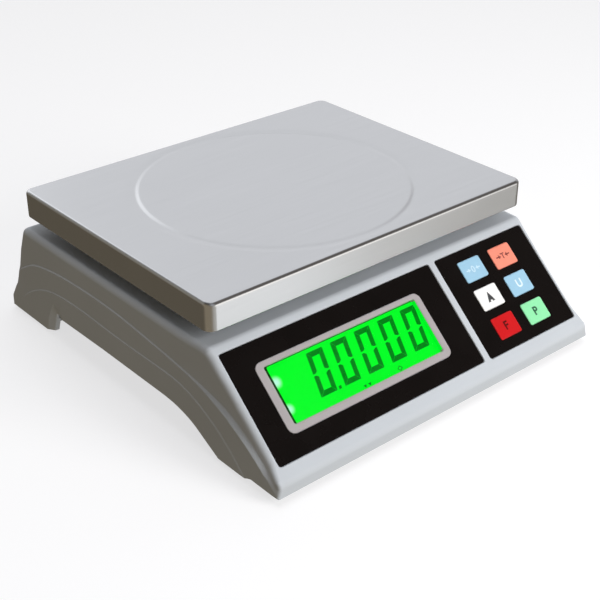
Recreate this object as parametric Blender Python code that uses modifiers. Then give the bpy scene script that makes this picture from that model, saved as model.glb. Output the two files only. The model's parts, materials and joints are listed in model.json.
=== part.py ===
"""Bench weighing scale: moulded two-shell housing with a sloped console, stainless pan on a
four-arm support, single-point load cell, six travelling keys, levelling feet.

Frame: metres. X to the right, Y to the back (the console is at -Y), Z up. The origin is under
the middle of the scale, on the surface that the feet stand on.
Sizes below are written in millimetres and multiplied by MM when a piece is made.
"""

import math

import bmesh
import bpy
from mathutils import Matrix, Vector

MM = 0.001

# ------------------------------------------------------------------ driving dimensions (mm)
HALF_Y = 167.0            # the housing reaches this far to the front and to the back
HALF_X_SKIRT = 155.0      # lowest side layer
HALF_X_STEP = 154.0       # middle side layer
HALF_X_WALL = 153.0       # upper side wall
RIM_Z = 3.0               # lower rim of the housing
DECK_Z = 81.0             # top of the deck under the pan
WALL = 3.0                # general wall thickness
SLOPE_WALL = 4.5          # wall of the console
CAVITY_X = 147.5          # half width of the space inside
SLOPE = math.radians(41.7)  # console slope
PANEL_Y, PANEL_Z = -98.5, 76.1  # where the console's own v axis starts

PAN_W, PAN_D, PAN_TOP, PAN_RIM, PAN_T = 300.0, 232.0, 113.0, 21.0, 1.0
PAN_Y = 20.0              # the load cell and the pan's cushions are centred here
PAN_MID = 21.4            # the pan's own middle
PAN_R = 7.0               # corner radius

GAP = 0.3                 # clearance between pieces that touch

CELL_L, CELL_W, CELL_H, CELL_Z = 130.0, 30.0, 22.0, 37.9
TRAY_LOW, TRAY_HIGH, TRAY_T = 9.0, 24.0, 3.0
TRAY_X = 147.2

FEET = {"fl": (-122.0, -130.0), "fr": (122.0, -130.0), "rl": (-122.0, 132.0), "rr": (122.0, 132.0)}
SCREWS = [(-56.0, -152.0), (56.0, -152.0), (-137.0, -45.0), (137.0, -45.0), (-137.0, 92.0), (137.0, 92.0)]
ARM_END = (118.0, 88.0)   # spider arm ends, from the pan's middle

BATTERY = ((-143.0, -20.0, 28.0), (-73.0, 81.0, 75.0))
DOOR_AXIS = (-22.5, 25.5)  # y, z of the battery door's hinge line

KEY_W = 22.7
KEY_COLUMNS = {"l": (70.5, 93.2), "r": (103.6, 126.3)}
KEY_ROWS = {1: (7.4, 24.6), 2: (31.5, 48.7), 3: (55.8, 73.0)}
KEYS = {
    "key_zero": ("l", 1, (0.36, 0.60, 0.76)),
    "key_tare": ("r", 1, (0.80, 0.33, 0.26)),
    "key_up": ("l", 2, (0.86, 0.87, 0.88)),
    "key_units": ("r", 2, (0.36, 0.60, 0.76)),
    "key_function": ("l", 3, (0.60, 0.05, 0.05)),
    "key_print": ("r", 3, (0.38, 0.68, 0.44)),
}

# ------------------------------------------------------------------ clean start, collections
for o in list(bpy.data.objects):
    bpy.data.objects.remove(o)
for c in list(bpy.data.collections):
    bpy.data.collections.remove(c)

PARTS = bpy.data.collections.new("bench_scale")
CUTTERS = bpy.data.collections.new("bench_scale_cutters")
bpy.context.scene.collection.children.link(PARTS)
bpy.context.scene.collection.children.link(CUTTERS)


def material(name, colour, roughness=0.5, metallic=0.0, alpha=1.0):
    m = bpy.data.materials.get(name)
    if m:
        return m
    m = bpy.data.materials.new(name)
    m.use_nodes = True
    p = m.node_tree.nodes["Principled BSDF"]
    p.inputs["Base Color"].default_value = (*colour, 1.0)
    p.inputs["Roughness"].default_value = roughness
    p.inputs["Metallic"].default_value = metallic
    p.inputs["Alpha"].default_value = alpha
    m.diffuse_color = (*colour, alpha)
    return m


GREY = material("housing_plastic", (0.60, 0.62, 0.66), 0.45)
BASE = material("base_plastic", (0.45, 0.46, 0.49), 0.6)
STEEL = material("stainless", (0.62, 0.62, 0.65), 0.28, 1.0)
BLACK = material("panel_film", (0.012, 0.012, 0.013), 0.25)
BEZEL = material("window_frame", (0.72, 0.70, 0.70), 0.4)
CLEAR = material("clear_window", (0.85, 0.9, 0.87), 0.05, 0.0, 0.35)
LCD = material("lcd_cell", (0.10, 0.55, 0.12), 0.1)
LIGHT = material("light_guide", (0.15, 0.75, 0.2), 0.3)
BOARD = material("circuit_board", (0.02, 0.16, 0.06), 0.45)
ALU = material("aluminium", (0.66, 0.67, 0.68), 0.35, 1.0)
ZINC = material("zinc_steel", (0.55, 0.55, 0.57), 0.35, 1.0)
RUBBER = material("rubber", (0.03, 0.03, 0.03), 0.85)
DARK = material("dark_plastic", (0.03, 0.03, 0.035), 0.5)
BATT = material("battery_case", (0.07, 0.07, 0.08), 0.5)
CABLE = material("cable", (0.05, 0.05, 0.05), 0.6)
RIBBON = material("ribbon", (0.55, 0.45, 0.25), 0.4)
VIAL = material("vial_plastic", (0.80, 0.80, 0.78), 0.4)
FLUID = material("vial_lens", (0.55, 0.80, 0.20), 0.05, 0.0, 0.5)


# ------------------------------------------------------------------ modelling helpers
def link(mesh, name, mat=None, cutter=False, origin=(0, 0, 0)):
    """A mesh in world metres becomes an object whose origin is at the given point (mm)."""
    at = Vector(origin) * MM
    mesh.transform(Matrix.Translation(-at))
    o = bpy.data.objects.new(name, mesh)
    o.location = at
    if cutter:
        CUTTERS.objects.link(o)
        o.hide_render = True
        o.display_type = "WIRE"
    else:
        PARTS.objects.link(o)
        if mat:
            o.data.materials.append(mat)
    return o


def frame_of(kind):
    """Local to world rotation and shift: the outline lies in local x, y and is thick along z."""
    if kind == "Z":
        return Matrix.Identity(4)
    if kind == "X":  # local x is world Y, local y is world Z
        return Matrix(((0, 0, 1, 0), (1, 0, 0, 0), (0, 1, 0, 0), (0, 0, 0, 1)))
    if kind == "Y":  # local x is world X, local y is world Z, thick along -Y
        return Matrix(((1, 0, 0, 0), (0, 0, -1, 0), (0, 1, 0, 0), (0, 0, 0, 1)))
    c, s = math.cos(SLOPE), math.sin(SLOPE)
    # console: local x is world X, local y is -v (up the slope), local z is the outward normal
    return Matrix(((1, 0, 0, 0), (0, c, -s, PANEL_Y * MM), (0, s, c, PANEL_Z * MM), (0, 0, 0, 1)))


def panel_point(x, v, n):
    """World point (mm) of console coordinates."""
    return tuple(frame_of("P") @ (Vector((x, -v, n)) * MM) / MM)


def arc(cx, cy, r, a0, a1, n):
    return [(cx + r * math.cos(a0 + (a1 - a0) * i / n), cy + r * math.sin(a0 + (a1 - a0) * i / n)) for i in range(n + 1)]


def rounded_rect(x0, y0, x1, y1, r, n=3):
    q = math.pi / 2
    out = []
    for cx, cy, a in ((x1 - r, y1 - r, 0), (x0 + r, y1 - r, q), (x0 + r, y0 + r, 2 * q), (x1 - r, y0 + r, 3 * q)):
        out += arc(cx, cy, r, a, a + q, n)
    return out


def fillet(points):
    """Corners (y, z, radius, steps) of an outline, with each corner rounded."""
    out, n = [], len(points)
    for i, (y, z, r, k) in enumerate(points):
        p = Vector((y, z))
        if r <= 0:
            out.append((y, z))
            continue
        a = (Vector(points[i - 1][:2]) - p).normalized()
        b = (Vector(points[(i + 1) % n][:2]) - p).normalized()
        half = a.angle(b) / 2
        t = r / math.tan(half)
        centre = p + (a + b).normalized() * (r / math.sin(half))
        s, e = p + a * t - centre, p + b * t - centre
        turn = s.angle_signed(e)  # clockwise positive in mathutils
        for j in range(k + 1):
            f = -turn * j / k
            out.append((centre.x + s.x * math.cos(f) - s.y * math.sin(f), centre.y + s.x * math.sin(f) + s.y * math.cos(f)))
    return out


def inset(points, thickness):
    """Moves each edge of a clockwise or counter-clockwise outline inward by its own thickness."""
    n = len(points)
    area = sum(points[i][0] * points[(i + 1) % n][1] - points[(i + 1) % n][0] * points[i][1] for i in range(n))
    side = 1 if area > 0 else -1
    lines = []
    for i in range(n):
        p, q = Vector(points[i][:2]), Vector(points[(i + 1) % n][:2])
        d = (q - p).normalized()
        lines.append((p + Vector((-d.y, d.x)) * side * thickness[i], d))
    out = []
    for i in range(n):
        (p, d), (q, e) = lines[i - 1], lines[i]
        det = d.x * e.y - d.y * e.x
        t = ((q - p).x * e.y - (q - p).y * e.x) / det
        out.append((p.x + d.x * t, p.y + d.y * t))
    return out


def smooth_path(points, per=4):
    """Points along a Catmull-Rom curve through the given ones, in two or three dimensions."""
    pts = [Vector(p) for p in points]
    out = []
    for i in range(len(pts) - 1):
        a, b, c, d = pts[max(i - 1, 0)], pts[i], pts[i + 1], pts[min(i + 2, len(pts) - 1)]
        for j in range(per):
            t = j / per
            out.append(0.5 * ((2 * b) + (c - a) * t + (2 * a - 5 * b + 4 * c - d) * t * t + (3 * b - a - 3 * c + d) * t ** 3))
    out.append(pts[-1])
    return [tuple(p) for p in out]


def prism_mesh(outline, kind, lo, hi, name):
    """A closed flat outline (mm) made thick between lo and hi (mm) along the frame's third axis."""
    curve = bpy.data.curves.new(name + "_outline", "CURVE")
    curve.dimensions = "2D"
    curve.fill_mode = "BOTH"
    curve.extrude = abs(hi - lo) / 2 * MM
    s = curve.splines.new("POLY")
    s.points.add(len(outline) - 1)
    for q, (x, y) in zip(s.points, outline):
        q.co = (x * MM, y * MM, 0, 1)
    s.use_cyclic_u = True
    tmp = bpy.data.objects.new(name + "_outline", curve)
    bpy.context.scene.collection.objects.link(tmp)
    bpy.context.view_layer.update()
    mesh = bpy.data.meshes.new_from_object(tmp.evaluated_get(bpy.context.evaluated_depsgraph_get()))
    bpy.data.objects.remove(tmp)
    bm = bmesh.new()
    bm.from_mesh(mesh)
    bmesh.ops.remove_doubles(bm, verts=bm.verts, dist=1e-6)
    bmesh.ops.recalc_face_normals(bm, faces=bm.faces)
    bm.to_mesh(mesh)
    bm.free()
    mesh.transform(frame_of(kind) @ Matrix.Translation((0, 0, (lo + hi) / 2 * MM)))
    mesh.name = name
    return mesh


def prism(outline, kind, lo, hi, name, mat=None, cutter=False, origin=(0, 0, 0), bevel=0.0, steps=2):
    mesh = prism_mesh(outline, kind, lo, hi, name)
    if bevel:
        soften(mesh, bevel, steps)
    return link(mesh, name, mat, cutter, origin)


def soften(mesh, width, steps=1, angle=50):
    """Rounds the edges of a mesh that are sharper than the given angle."""
    bm = bmesh.new()
    bm.from_mesh(mesh)
    sharp = [e for e in bm.edges if len(e.link_faces) == 2 and e.calc_face_angle(0) > math.radians(angle)]
    bmesh.ops.bevel(bm, geom=sharp, offset=width * MM, segments=steps, profile=0.5, affect="EDGES", clamp_overlap=True)
    bm.to_mesh(mesh)
    bm.free()


def box_mesh(lo, hi, name, kind="W"):
    bm = bmesh.new()
    bmesh.ops.create_cube(bm, size=1.0)
    size = [(b - a) * MM for a, b in zip(lo, hi)]
    mid = [(a + b) / 2 * MM for a, b in zip(lo, hi)]
    m = Matrix.Translation(mid) @ Matrix.Diagonal((*size, 1))
    bmesh.ops.transform(bm, matrix=m, verts=bm.verts)
    mesh = bpy.data.meshes.new(name)
    bm.to_mesh(mesh)
    bm.free()
    if kind == "P":
        mesh.transform(frame_of("P"))
    return mesh


def box(lo, hi, name, mat=None, cutter=False, origin=(0, 0, 0), kind="W", bevel=0.0, steps=1):
    mesh = box_mesh(lo, hi, name, kind)
    if bevel:
        soften(mesh, bevel, steps)
    return link(mesh, name, mat, cutter, origin)


def panel_box(x0, x1, v0, v1, n0, n1, name, **kw):
    return box((x0, -v1, n0), (x1, -v0, n1), name, kind="P", **kw)


def cylinder_mesh(centre, axis, r, a, b, name, seg=16, r2=None):
    """A cylinder or cone whose ends are at a and b (mm) along a world axis through centre."""
    bm = bmesh.new()
    bmesh.ops.create_cone(bm, cap_ends=True, segments=seg, radius1=r * MM, radius2=(r if r2 is None else r2) * MM, depth=abs(b - a) * MM)
    turn = {"Z": Matrix.Identity(4), "X": Matrix.Rotation(math.pi / 2, 4, "Y"), "Y": Matrix.Rotation(-math.pi / 2, 4, "X")}[axis]
    at = Vector(centre) * MM
    at["XYZ".index(axis)] = (a + b) / 2 * MM
    bmesh.ops.transform(bm, matrix=Matrix.Translation(at) @ turn, verts=bm.verts)
    mesh = bpy.data.meshes.new(name)
    bm.to_mesh(mesh)
    bm.free()
    return mesh


def cylinder(centre, axis, r, a, b, name, mat=None, cutter=False, origin=(0, 0, 0), seg=16, r2=None):
    return link(cylinder_mesh(centre, axis, r, a, b, name, seg, r2), name, mat, cutter, origin)


def turned(profile, centre, name, mat, seg=20, origin=(0, 0, 0)):
    """A turned piece about Z: profile of (radius, z) from the top, down the outer side, to the bottom."""
    mesh = bpy.data.meshes.new(name)
    mesh.from_pydata([(r * MM, 0, z * MM) for r, z in profile], [(i, i + 1) for i in range(len(profile) - 1)], [])
    at = Vector((centre[0], centre[1], 0)) * MM
    o = bpy.data.objects.new(name, mesh)
    o.location = at
    m = o.modifiers.new("turn", "SCREW")
    m.axis, m.angle, m.screw_offset, m.steps, m.render_steps = "Z", 2 * math.pi, 0, seg, seg
    m.use_merge_vertices, m.merge_threshold, m.use_normal_calculate = True, 0.00001, True
    CUTTERS.objects.link(o)
    bpy.context.view_layer.update()
    done = bpy.data.meshes.new_from_object(o.evaluated_get(bpy.context.evaluated_depsgraph_get()))
    bpy.data.objects.remove(o)
    done.transform(Matrix.Translation(at))
    done.name = name
    bm = bmesh.new()
    bm.from_mesh(done)
    bmesh.ops.remove_doubles(bm, verts=bm.verts, dist=1e-6)
    bmesh.ops.recalc_face_normals(bm, faces=bm.faces)
    bm.to_mesh(done)
    bm.free()
    return link(done, name, mat, False, origin)


def boolean(target, tool, how):
    m = target.modifiers.new(how.lower() + "_" + tool.name, "BOOLEAN")
    m.object, m.operation, m.solver = tool, how, "EXACT"


def cut(target, *tools):
    for t in tools:
        boolean(target, t, "DIFFERENCE")


def join(target, *tools):
    for t in tools:
        boolean(target, t, "UNION")


def settle(target):
    """Applies the modifiers made so far, so that later ones work on one plain mesh."""
    bpy.context.view_layer.update()
    done = bpy.data.meshes.new_from_object(target.evaluated_get(bpy.context.evaluated_depsgraph_get()))
    done.name = target.data.name + "_settled"
    bm = bmesh.new()
    bm.from_mesh(done)
    bmesh.ops.remove_doubles(bm, verts=bm.verts, dist=2e-6)
    bmesh.ops.dissolve_degenerate(bm, edges=bm.edges, dist=2e-6)
    bmesh.ops.dissolve_limit(bm, angle_limit=math.radians(0.4), verts=bm.verts, edges=bm.edges)
    bmesh.ops.triangulate(bm, faces=bm.faces)
    bm.to_mesh(done)
    bm.free()
    target.modifiers.clear()
    target.data = done


def tube(points, r, name, mat, res=2):
    curve = bpy.data.curves.new(name, "CURVE")
    curve.dimensions = "3D"
    curve.bevel_depth = r * MM
    curve.bevel_resolution = res
    curve.use_fill_caps = True
    s = curve.splines.new("POLY")
    s.points.add(len(points) - 1)
    for q, p in zip(s.points, points):
        q.co = (*(c * MM for c in p), 1)
    o = bpy.data.objects.new(name, curve)
    PARTS.objects.link(o)
    o.data.materials.append(mat)
    return o


# ------------------------------------------------------------------ upper housing
c_s, s_s = math.cos(SLOPE), math.sin(SLOPE)
front_z = PANEL_Z - (-PANEL_Y + -HALF_Y) * 0 - (HALF_Y + PANEL_Y) / c_s * s_s  # console line at the front face
crease_y = PANEL_Y + (DECK_Z - PANEL_Z) / s_s * c_s                          # console line at the deck
outer = [
    (-HALF_Y, -6.0, 0, 0),
    (-HALF_Y, front_z, 8.0, 4),
    (crease_y, DECK_Z, 4.0, 2),
    (140.5, DECK_Z, 5.0, 3),
    (157.0, 27.0, 14.0, 3),
    (HALF_Y, 12.0, 6.0, 2),
    (HALF_Y, -6.0, 0, 0),
]
body_mesh = prism_mesh(fillet(outer), "X", -HALF_X_WALL, HALF_X_WALL, "upper_housing")


def soften_ends(mesh, half_x, width, steps):
    """Rounds the edges where an extruded side profile meets its flat ends."""
    bm = bmesh.new()
    bm.from_mesh(mesh)
    rim = [
        e for e in bm.edges
        if all(abs(abs(v.co.x) - half_x * MM) < 1e-6 for v in e.verts)
        and e.calc_face_angle(0) > math.radians(50)
        and not all(v.co.z < -0.005 for v in e.verts)
    ]
    bmesh.ops.bevel(bm, geom=rim, offset=width * MM, segments=steps, profile=0.5, affect="EDGES")
    bm.to_mesh(mesh)
    bm.free()


soften_ends(body_mesh, HALF_X_WALL, 2.0, 2)
housing = link(body_mesh, "upper_housing", GREY)

# the two side layers, each bounded by an arc that runs from the rear to the front lip
ARC_1 = [(160.0, 26.0), (151.0, 39.0), (137.0, 49.0), (118.0, 56.5), (88.0, 61.0), (45.0, 62.8), (5.0, 61.8),
         (-40.0, 57.6), (-85.0, 50.0), (-106.0, 42.9), (-126.5, 33.5), (-146.5, 22.0), (-158.4, 13.9), (-166.4, 6.5)]
ARC_2 = [(150.0, 16.0), (140.0, 24.5), (129.0, 31.5), (112.0, 38.5), (89.0, 42.8), (50.0, 43.8), (5.0, 43.0),
         (-41.0, 42.6), (-64.0, 41.0), (-86.5, 35.9), (-107.5, 23.3), (-128.0, 8.3), (-136.0, 2.0)]
step_1 = prism(smooth_path(ARC_1, 2) + [(-166.4, -5.0), (166.4, -5.0), (166.4, 12.0)], "X", -HALF_X_STEP, HALF_X_STEP, "side_layer_1", cutter=True, bevel=0.7, steps=1)
step_2 = prism(smooth_path(ARC_2, 2) + [(-136.0, -4.0), (150.0, -4.0)], "X", -HALF_X_SKIRT, HALF_X_SKIRT, "side_layer_2", cutter=True, bevel=0.7, steps=1)
leg_rear = prism([(166.0, -4.0), (166.0, 12.0), (150.0, 16.0), (120.0, 16.0), (120.0, -4.0)], "X", -HALF_X_SKIRT + 0.4, HALF_X_SKIRT - 0.4, "rear_leg_pad", cutter=True, bevel=0.8, steps=1)
join(housing, step_1, step_2, leg_rear)
settle(housing)

# the space inside
inner_corners = [(-HALF_Y, -20.0), (-HALF_Y, front_z), (crease_y, DECK_Z), (140.5, DECK_Z), (157.0, 27.0), (HALF_Y, 12.0), (HALF_Y, -20.0)]
inner = inset(inner_corners, [WALL, SLOPE_WALL, WALL, WALL, WALL, WALL, 0.0])
cavity = prism([(y, z) for y, z in inner], "X", -CAVITY_X, CAVITY_X, "cavity", cutter=True)
cut(housing, cavity)
# lower edge: four legs with the long arch between them
ARCH = [(-180.0, -20.0), (-180.0, 5.3), (-139.0, 5.3), (-133.0, RIM_Z), (-105.5, RIM_Z)] + smooth_path([(-105.5, RIM_Z), (-93.0, 9.5), (-77.0, 17.5), (-60.0, 21.8), (-46.0, 23.0)], 2)[1:] + \
       [(31.0, 23.2), (95.0, 22.2), (100.5, 21.4), (103.0, 18.5), (108.5, RIM_Z), (180.0, RIM_Z), (180.0, -20.0)]
cut(housing, prism(ARCH, "X", -175.0, 175.0, "lower_edge", cutter=True))
settle(housing)

# recesses of the console, display and keypad openings
cut(housing, prism([(x, -v) for x, v in rounded_rect(-146.0, -1.2, 46.0, 81.1, 2.0, 2)], "P", -1.8, 12.0, "display_recess", cutter=True))
cut(housing, prism([(x, -v) for x, v in rounded_rect(52.0, -1.2, 147.0, 81.8, 2.0, 2)], "P", -1.8, 12.0, "keypad_recess", cutter=True))
cut(housing, panel_box(-124.0, 21.0, 16.0, 64.0, -9.0, 3.0, "display_opening", cutter=True))
cut(housing, panel_box(65.0, 131.8, 3.5, 77.0, -9.0, 3.0, "keypad_opening", cutter=True))
# deck openings: pan column, bubble level
cut(housing, prism(rounded_rect(25.0, -4.0, 75.0, 44.0, 6.0, 2), "Z", 70.0, 95.0, "column_opening", cutter=True))
cut(housing, cylinder((0, -62, 0), "Z", 10.5, 70.0, 95.0, "level_opening", cutter=True, seg=20))
settle(housing)

# screw bosses under the deck and the console
for i, (x, y) in enumerate(SCREWS):
    front = y < -100
    z0 = (TRAY_LOW if front else TRAY_HIGH) + TRAY_T + GAP
    z1 = 21.8 if front else DECK_Z - 1.5
    join(housing, cylinder((x, y, 0), "Z", 4.5, z0, z1, f"boss_{i}", cutter=True, seg=12))
# thickened wall behind the switch pocket
join(housing, box((143.0, 24.0, 42.0), (150.0, 98.0, 65.0), "pocket_backing", cutter=True))
settle(housing)
for i, (x, y) in enumerate(SCREWS):
    front = y < -100
    z0 = (TRAY_LOW if front else TRAY_HIGH) + TRAY_T
    cut(housing, cylinder((x, y, 0), "Z", 1.9, z0 - 2, z0 + (8.5 if front else 14.5), f"boss_hole_{i}", cutter=True, seg=10))
cut(housing, prism(rounded_rect(27.0, 45.0, 95.0, 62.0, 2.5, 2), "X", 147.5, 170.0, "switch_pocket", cutter=True))
cut(housing, box((140.0, 66.0, 47.0), (150.0, 85.0, 60.0), "switch_opening", cutter=True))
cut(housing, cylinder((0, 42.0, 53.5), "X", 5.9, 140.0, 150.0, "socket_opening", cutter=True, seg=16))
settle(housing)

# ------------------------------------------------------------------ base tray and battery door
low, high, t = TRAY_LOW, TRAY_HIGH, TRAY_T
tray_outline = [(-160.5, low), (-104.0, low), (-66.0, high), (104.0, high), (109.5, low), (160.5, low),
                (160.5, low + t), (111.7, low + t), (106.1, high + t), (-66.6, high + t), (-104.6, low + t), (-160.5, low + t)]
tray = prism(tray_outline, "X", -TRAY_X, TRAY_X, "base_tray", BASE)
for k, (x, y) in FEET.items():
    join(tray, cylinder((x, y, 0), "Z", 8.0, low + 0.5, 22.0, f"foot_boss_{k}", cutter=True, seg=16))
settle(tray)
for k, (x, y) in FEET.items():
    cut(tray, cylinder((x, y, 0), "Z", 4.4, 0.0, 40.0, f"foot_hole_{k}", cutter=True, seg=16))
for i, (x, y) in enumerate(SCREWS):
    cut(tray, cylinder((x, y, 0), "Z", 1.9, 0.0, 40.0, f"tray_screw_hole_{i}", cutter=True, seg=10))
for i, x in enumerate((-58.0, -42.0)):
    cut(tray, cylinder((x, PAN_Y, 0), "Z", 6.2, 15.0, 35.0, f"cell_head_hole_{i}", cutter=True, seg=14))
door_x0, door_x1, door_y0, door_y1 = BATTERY[0][0] - 0.3, BATTERY[1][0] + 0.3, BATTERY[0][1] - 0.3, BATTERY[1][1] + 0.3
cut(tray, box((door_x0 - GAP, door_y0 - 0.9, 20.0), (door_x1 + GAP, door_y1 + GAP, 30.0), "battery_opening", cutter=True))  # the door's hinge edge swings through the gap
HINGE_X = ((-136.0, -124.0), (-92.0, -80.0))
for i, (a, b) in enumerate(HINGE_X):
    cut(tray, box((a, DOOR_AXIS[0] - 2.1, 20.0), (b, door_y0, 30.0), f"hinge_notch_{i}", cutter=True))
cut(tray, box((-113.6, door_y1, 20.0), (-102.4, door_y1 + 2.9, 30.0), "latch_notch", cutter=True))
settle(tray)

door = box((door_x0, door_y0, 24.0), (door_x1, door_y1, 26.7), "battery_door", BASE, origin=(0, *DOOR_AXIS))
for i, (a, b) in enumerate(HINGE_X):
    join(door, box((a + GAP, DOOR_AXIS[0], 24.1), (b - GAP, door_y0 + 1, 26.6), f"hinge_tongue_{i}", cutter=True))
    join(door, cylinder((0, *DOOR_AXIS), "X", 1.5, a + GAP, b - GAP, f"hinge_barrel_{i}", cutter=True, seg=12))
join(door, box((-113.0, door_y1 - 1, 24.1), (-103.0, door_y1 + 2.3, 25.3), "latch_tongue", cutter=True))
for i in range(3):
    cut(door, box((-118.0, 60.0 + 5 * i, 20.0), (-98.0, 62.0 + 5 * i, 24.8), f"finger_groove_{i}", cutter=True))
settle(door)

# ------------------------------------------------------------------ display
overlay = prism([(x, -v) for x, v in rounded_rect(-145.7, -0.9, 45.7, 80.8, 1.8, 2)], "P", -1.5, -0.7, "display_overlay", BLACK)
cut(overlay, prism([(x, -v) for x, v in rounded_rect(-127.0, 13.9, 24.1, 66.4, 5.6, 3)], "P", -3.0, 1.0, "overlay_window", cutter=True))
bezel = prism([(x, -v) for x, v in rounded_rect(-126.7, 14.2, 23.8, 66.1, 5.3, 3)], "P", -1.5, -0.4, "display_bezel", BEZEL)
join(bezel, panel_box(-123.7, 20.7, 16.3, 63.7, -4.4, -1.4, "bezel_skirt", cutter=True))
cut(bezel, prism([(x, -v) for x, v in rounded_rect(-120.0, 18.0, 18.0, 60.5, 1.5, 2)], "P", -6.0, 1.0, "bezel_inner", cutter=True))
prism([(x, -v) for x, v in rounded_rect(-119.7, 18.3, 17.7, 60.2, 1.4, 2)], "P", -2.6, -1.1, "display_window", CLEAR)
panel_box(-122.0, 20.0, 16.0, 63.0, -7.2, -4.8, "lcd_glass", mat=LCD)
panel_box(-122.0, 20.0, 16.0, 63.0, -12.5, -7.5, "lcd_backlight", mat=LIGHT)
board = panel_box(-108.0, 44.0, 10.0, 66.0, -17.0, -15.4, "main_board", mat=BOARD)
for i, (x0, x1, v0, v1, n0) in enumerate(((-96.0, -84.0, 26.0, 36.0, -24.0), (-56.0, -44.0, 26.0, 36.0, -24.0), (24.0, 38.0, 26.0, 36.0, -24.0),
                                          (-30.0, -16.0, 28.0, 42.0, -19.0), (0.0, 10.0, 30.0, 37.0, -18.6), (-76.0, -66.0, 44.0, 54.0, -20.0))):
    join(board, panel_box(x0, x1, v0, v1, n0, -16.5, f"component_{i}", cutter=True))

# ------------------------------------------------------------------ keypad
key_film = prism([(x, -v) for x, v in rounded_rect(52.3, -0.9, 146.7, 81.5, 1.8, 2)], "P", -1.5, -0.7, "keypad_overlay", BLACK)
key_board = panel_box(66.0, 130.8, 4.5, 76.0, -7.4, -6.2, "keypad_board", mat=BOARD)
for name, (col, row, colour) in KEYS.items():
    (x0, x1), (v0, v1) = KEY_COLUMNS[col], KEY_ROWS[row]
    cut(key_film, prism([(x, -v) for x, v in rounded_rect(x0 - GAP, v0 - GAP, x1 + GAP, v1 + GAP, 1.8, 2)], "P", -3.0, 1.0, name + "_hole", cutter=True))
    mid = panel_point((x0 + x1) / 2, (v0 + v1) / 2, -0.3)
    key = prism([(x, -v) for x, v in rounded_rect(x0, v0, x1, v1, 1.5, 2)], "P", -3.2, -0.25, name, material(name + "_plastic", colour, 0.4), origin=mid)
    join(key, panel_box(x0 - 1.0, x1 + 1.0, v0 - 1.0, v1 + 1.0, -3.6, -1.9, name + "_flange", cutter=True))
    stem = cylinder_mesh((0, 0, 0), "Z", 2.0, -4.4, -3.0, name + "_stem", 10)
    stem.transform(frame_of("P") @ Matrix.Translation(((x0 + x1) / 2 * MM, -(v0 + v1) / 2 * MM, 0)))
    join(key, link(stem, name + "_stem", cutter=True))
    dome = cylinder_mesh((0, 0, 0), "Z", 4.0, -6.5, -5.3, name + "_dome", 14, 2.2)
    dome.transform(frame_of("P") @ Matrix.Translation(((x0 + x1) / 2 * MM, -(v0 + v1) / 2 * MM, 0)))
    join(key_board, link(dome, name + "_dome", cutter=True))

# flat ribbon from the keypad board round to the main board
path = smooth_path([(70.0, -7.9), (62.0, -9.5), (55.0, -13.0), (50.0, -16.2), (44.5, -16.2)], 3)
upper_side, lower_side = [], []
for i, p in enumerate(path):
    a, b = Vector(path[max(i - 1, 0)]), Vector(path[min(i + 1, len(path) - 1)])
    d = (b - a).normalized()
    upper_side.append((p[0] - d.y * 0.25, p[1] + d.x * 0.25))
    lower_side.append((p[0] + d.y * 0.25, p[1] - d.x * 0.25))
ribbon = prism_mesh(upper_side + lower_side[::-1], "Z", 30.0, 42.0, "keypad_ribbon")
ribbon.transform(frame_of("P") @ Matrix(((1, 0, 0, 0), (0, 0, -1, 0), (0, 1, 0, 0), (0, 0, 0, 1))))
link(ribbon, "keypad_ribbon", RIBBON)

# ------------------------------------------------------------------ load cell group
cell = box((-CELL_L / 2, PAN_Y - CELL_W / 2, CELL_Z), (CELL_L / 2, PAN_Y + CELL_W / 2, CELL_Z + CELL_H), "load_cell", ALU, bevel=0.6)
mid_z = CELL_Z + CELL_H / 2
cut(cell, cylinder((-17.0, PAN_Y, mid_z), "Y", 8.0, 0.0, 40.0, "cell_eye_l", cutter=True, seg=20))
cut(cell, cylinder((17.0, PAN_Y, mid_z), "Y", 8.0, 0.0, 40.0, "cell_eye_r", cutter=True, seg=20))
cut(cell, box((-17.0, 0.0, mid_z - 2.2), (17.0, 40.0, mid_z + 2.2), "cell_slot", cutter=True))
for i, x in enumerate((-58.0, -42.0)):
    cut(cell, cylinder((x, PAN_Y, 0), "Z", 3.3, 30.0, 52.0, f"cell_lower_hole_{i}", cutter=True, seg=12))
for i, x in enumerate((42.0, 58.0)):
    cut(cell, cylinder((x, PAN_Y, 0), "Z", 3.3, 46.0, 70.0, f"cell_upper_hole_{i}", cutter=True, seg=12))

plate = prism(rounded_rect(-70.0, -5.0, 75.0, 45.0, 4.0, 2), "Z", 27.3, 31.3, "load_cell_plate", ZINC)
spacer = box((-65.0, 5.0, 31.6), (-35.0, 35.0, 37.6), "load_cell_spacer", ALU)
column = box((35.0, 5.0, 60.2), (65.0, 35.0, 85.7), "pan_mount_column", ALU, bevel=0.6)
hub = prism(rounded_rect(-70.0, -4.0, 70.0, 44.0, 6.0, 2), "Z", 86.0, 91.3, "pan_spider", ALU)
for sx in (-1, 1):
    for sy in (-1, 1):
        a, b = Vector((sx * 58.0, PAN_Y + sy * 16.0)), Vector((sx * ARM_END[0], PAN_Y + sy * ARM_END[1]))
        d = (b - a).normalized()
        n = Vector((-d.y, d.x))
        outline = [a + n * 9, a - n * 9, b - n * 6.5, b + n * 6.5]
        join(hub, prism([tuple(p) for p in outline], "Z", 86.4, 95.0, f"arm_{sx}_{sy}", cutter=True))
        join(hub, cylinder((b.x, b.y, 0), "Z", 11.0, 86.2, 98.0, f"arm_end_{sx}_{sy}", cutter=True, seg=16))
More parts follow.
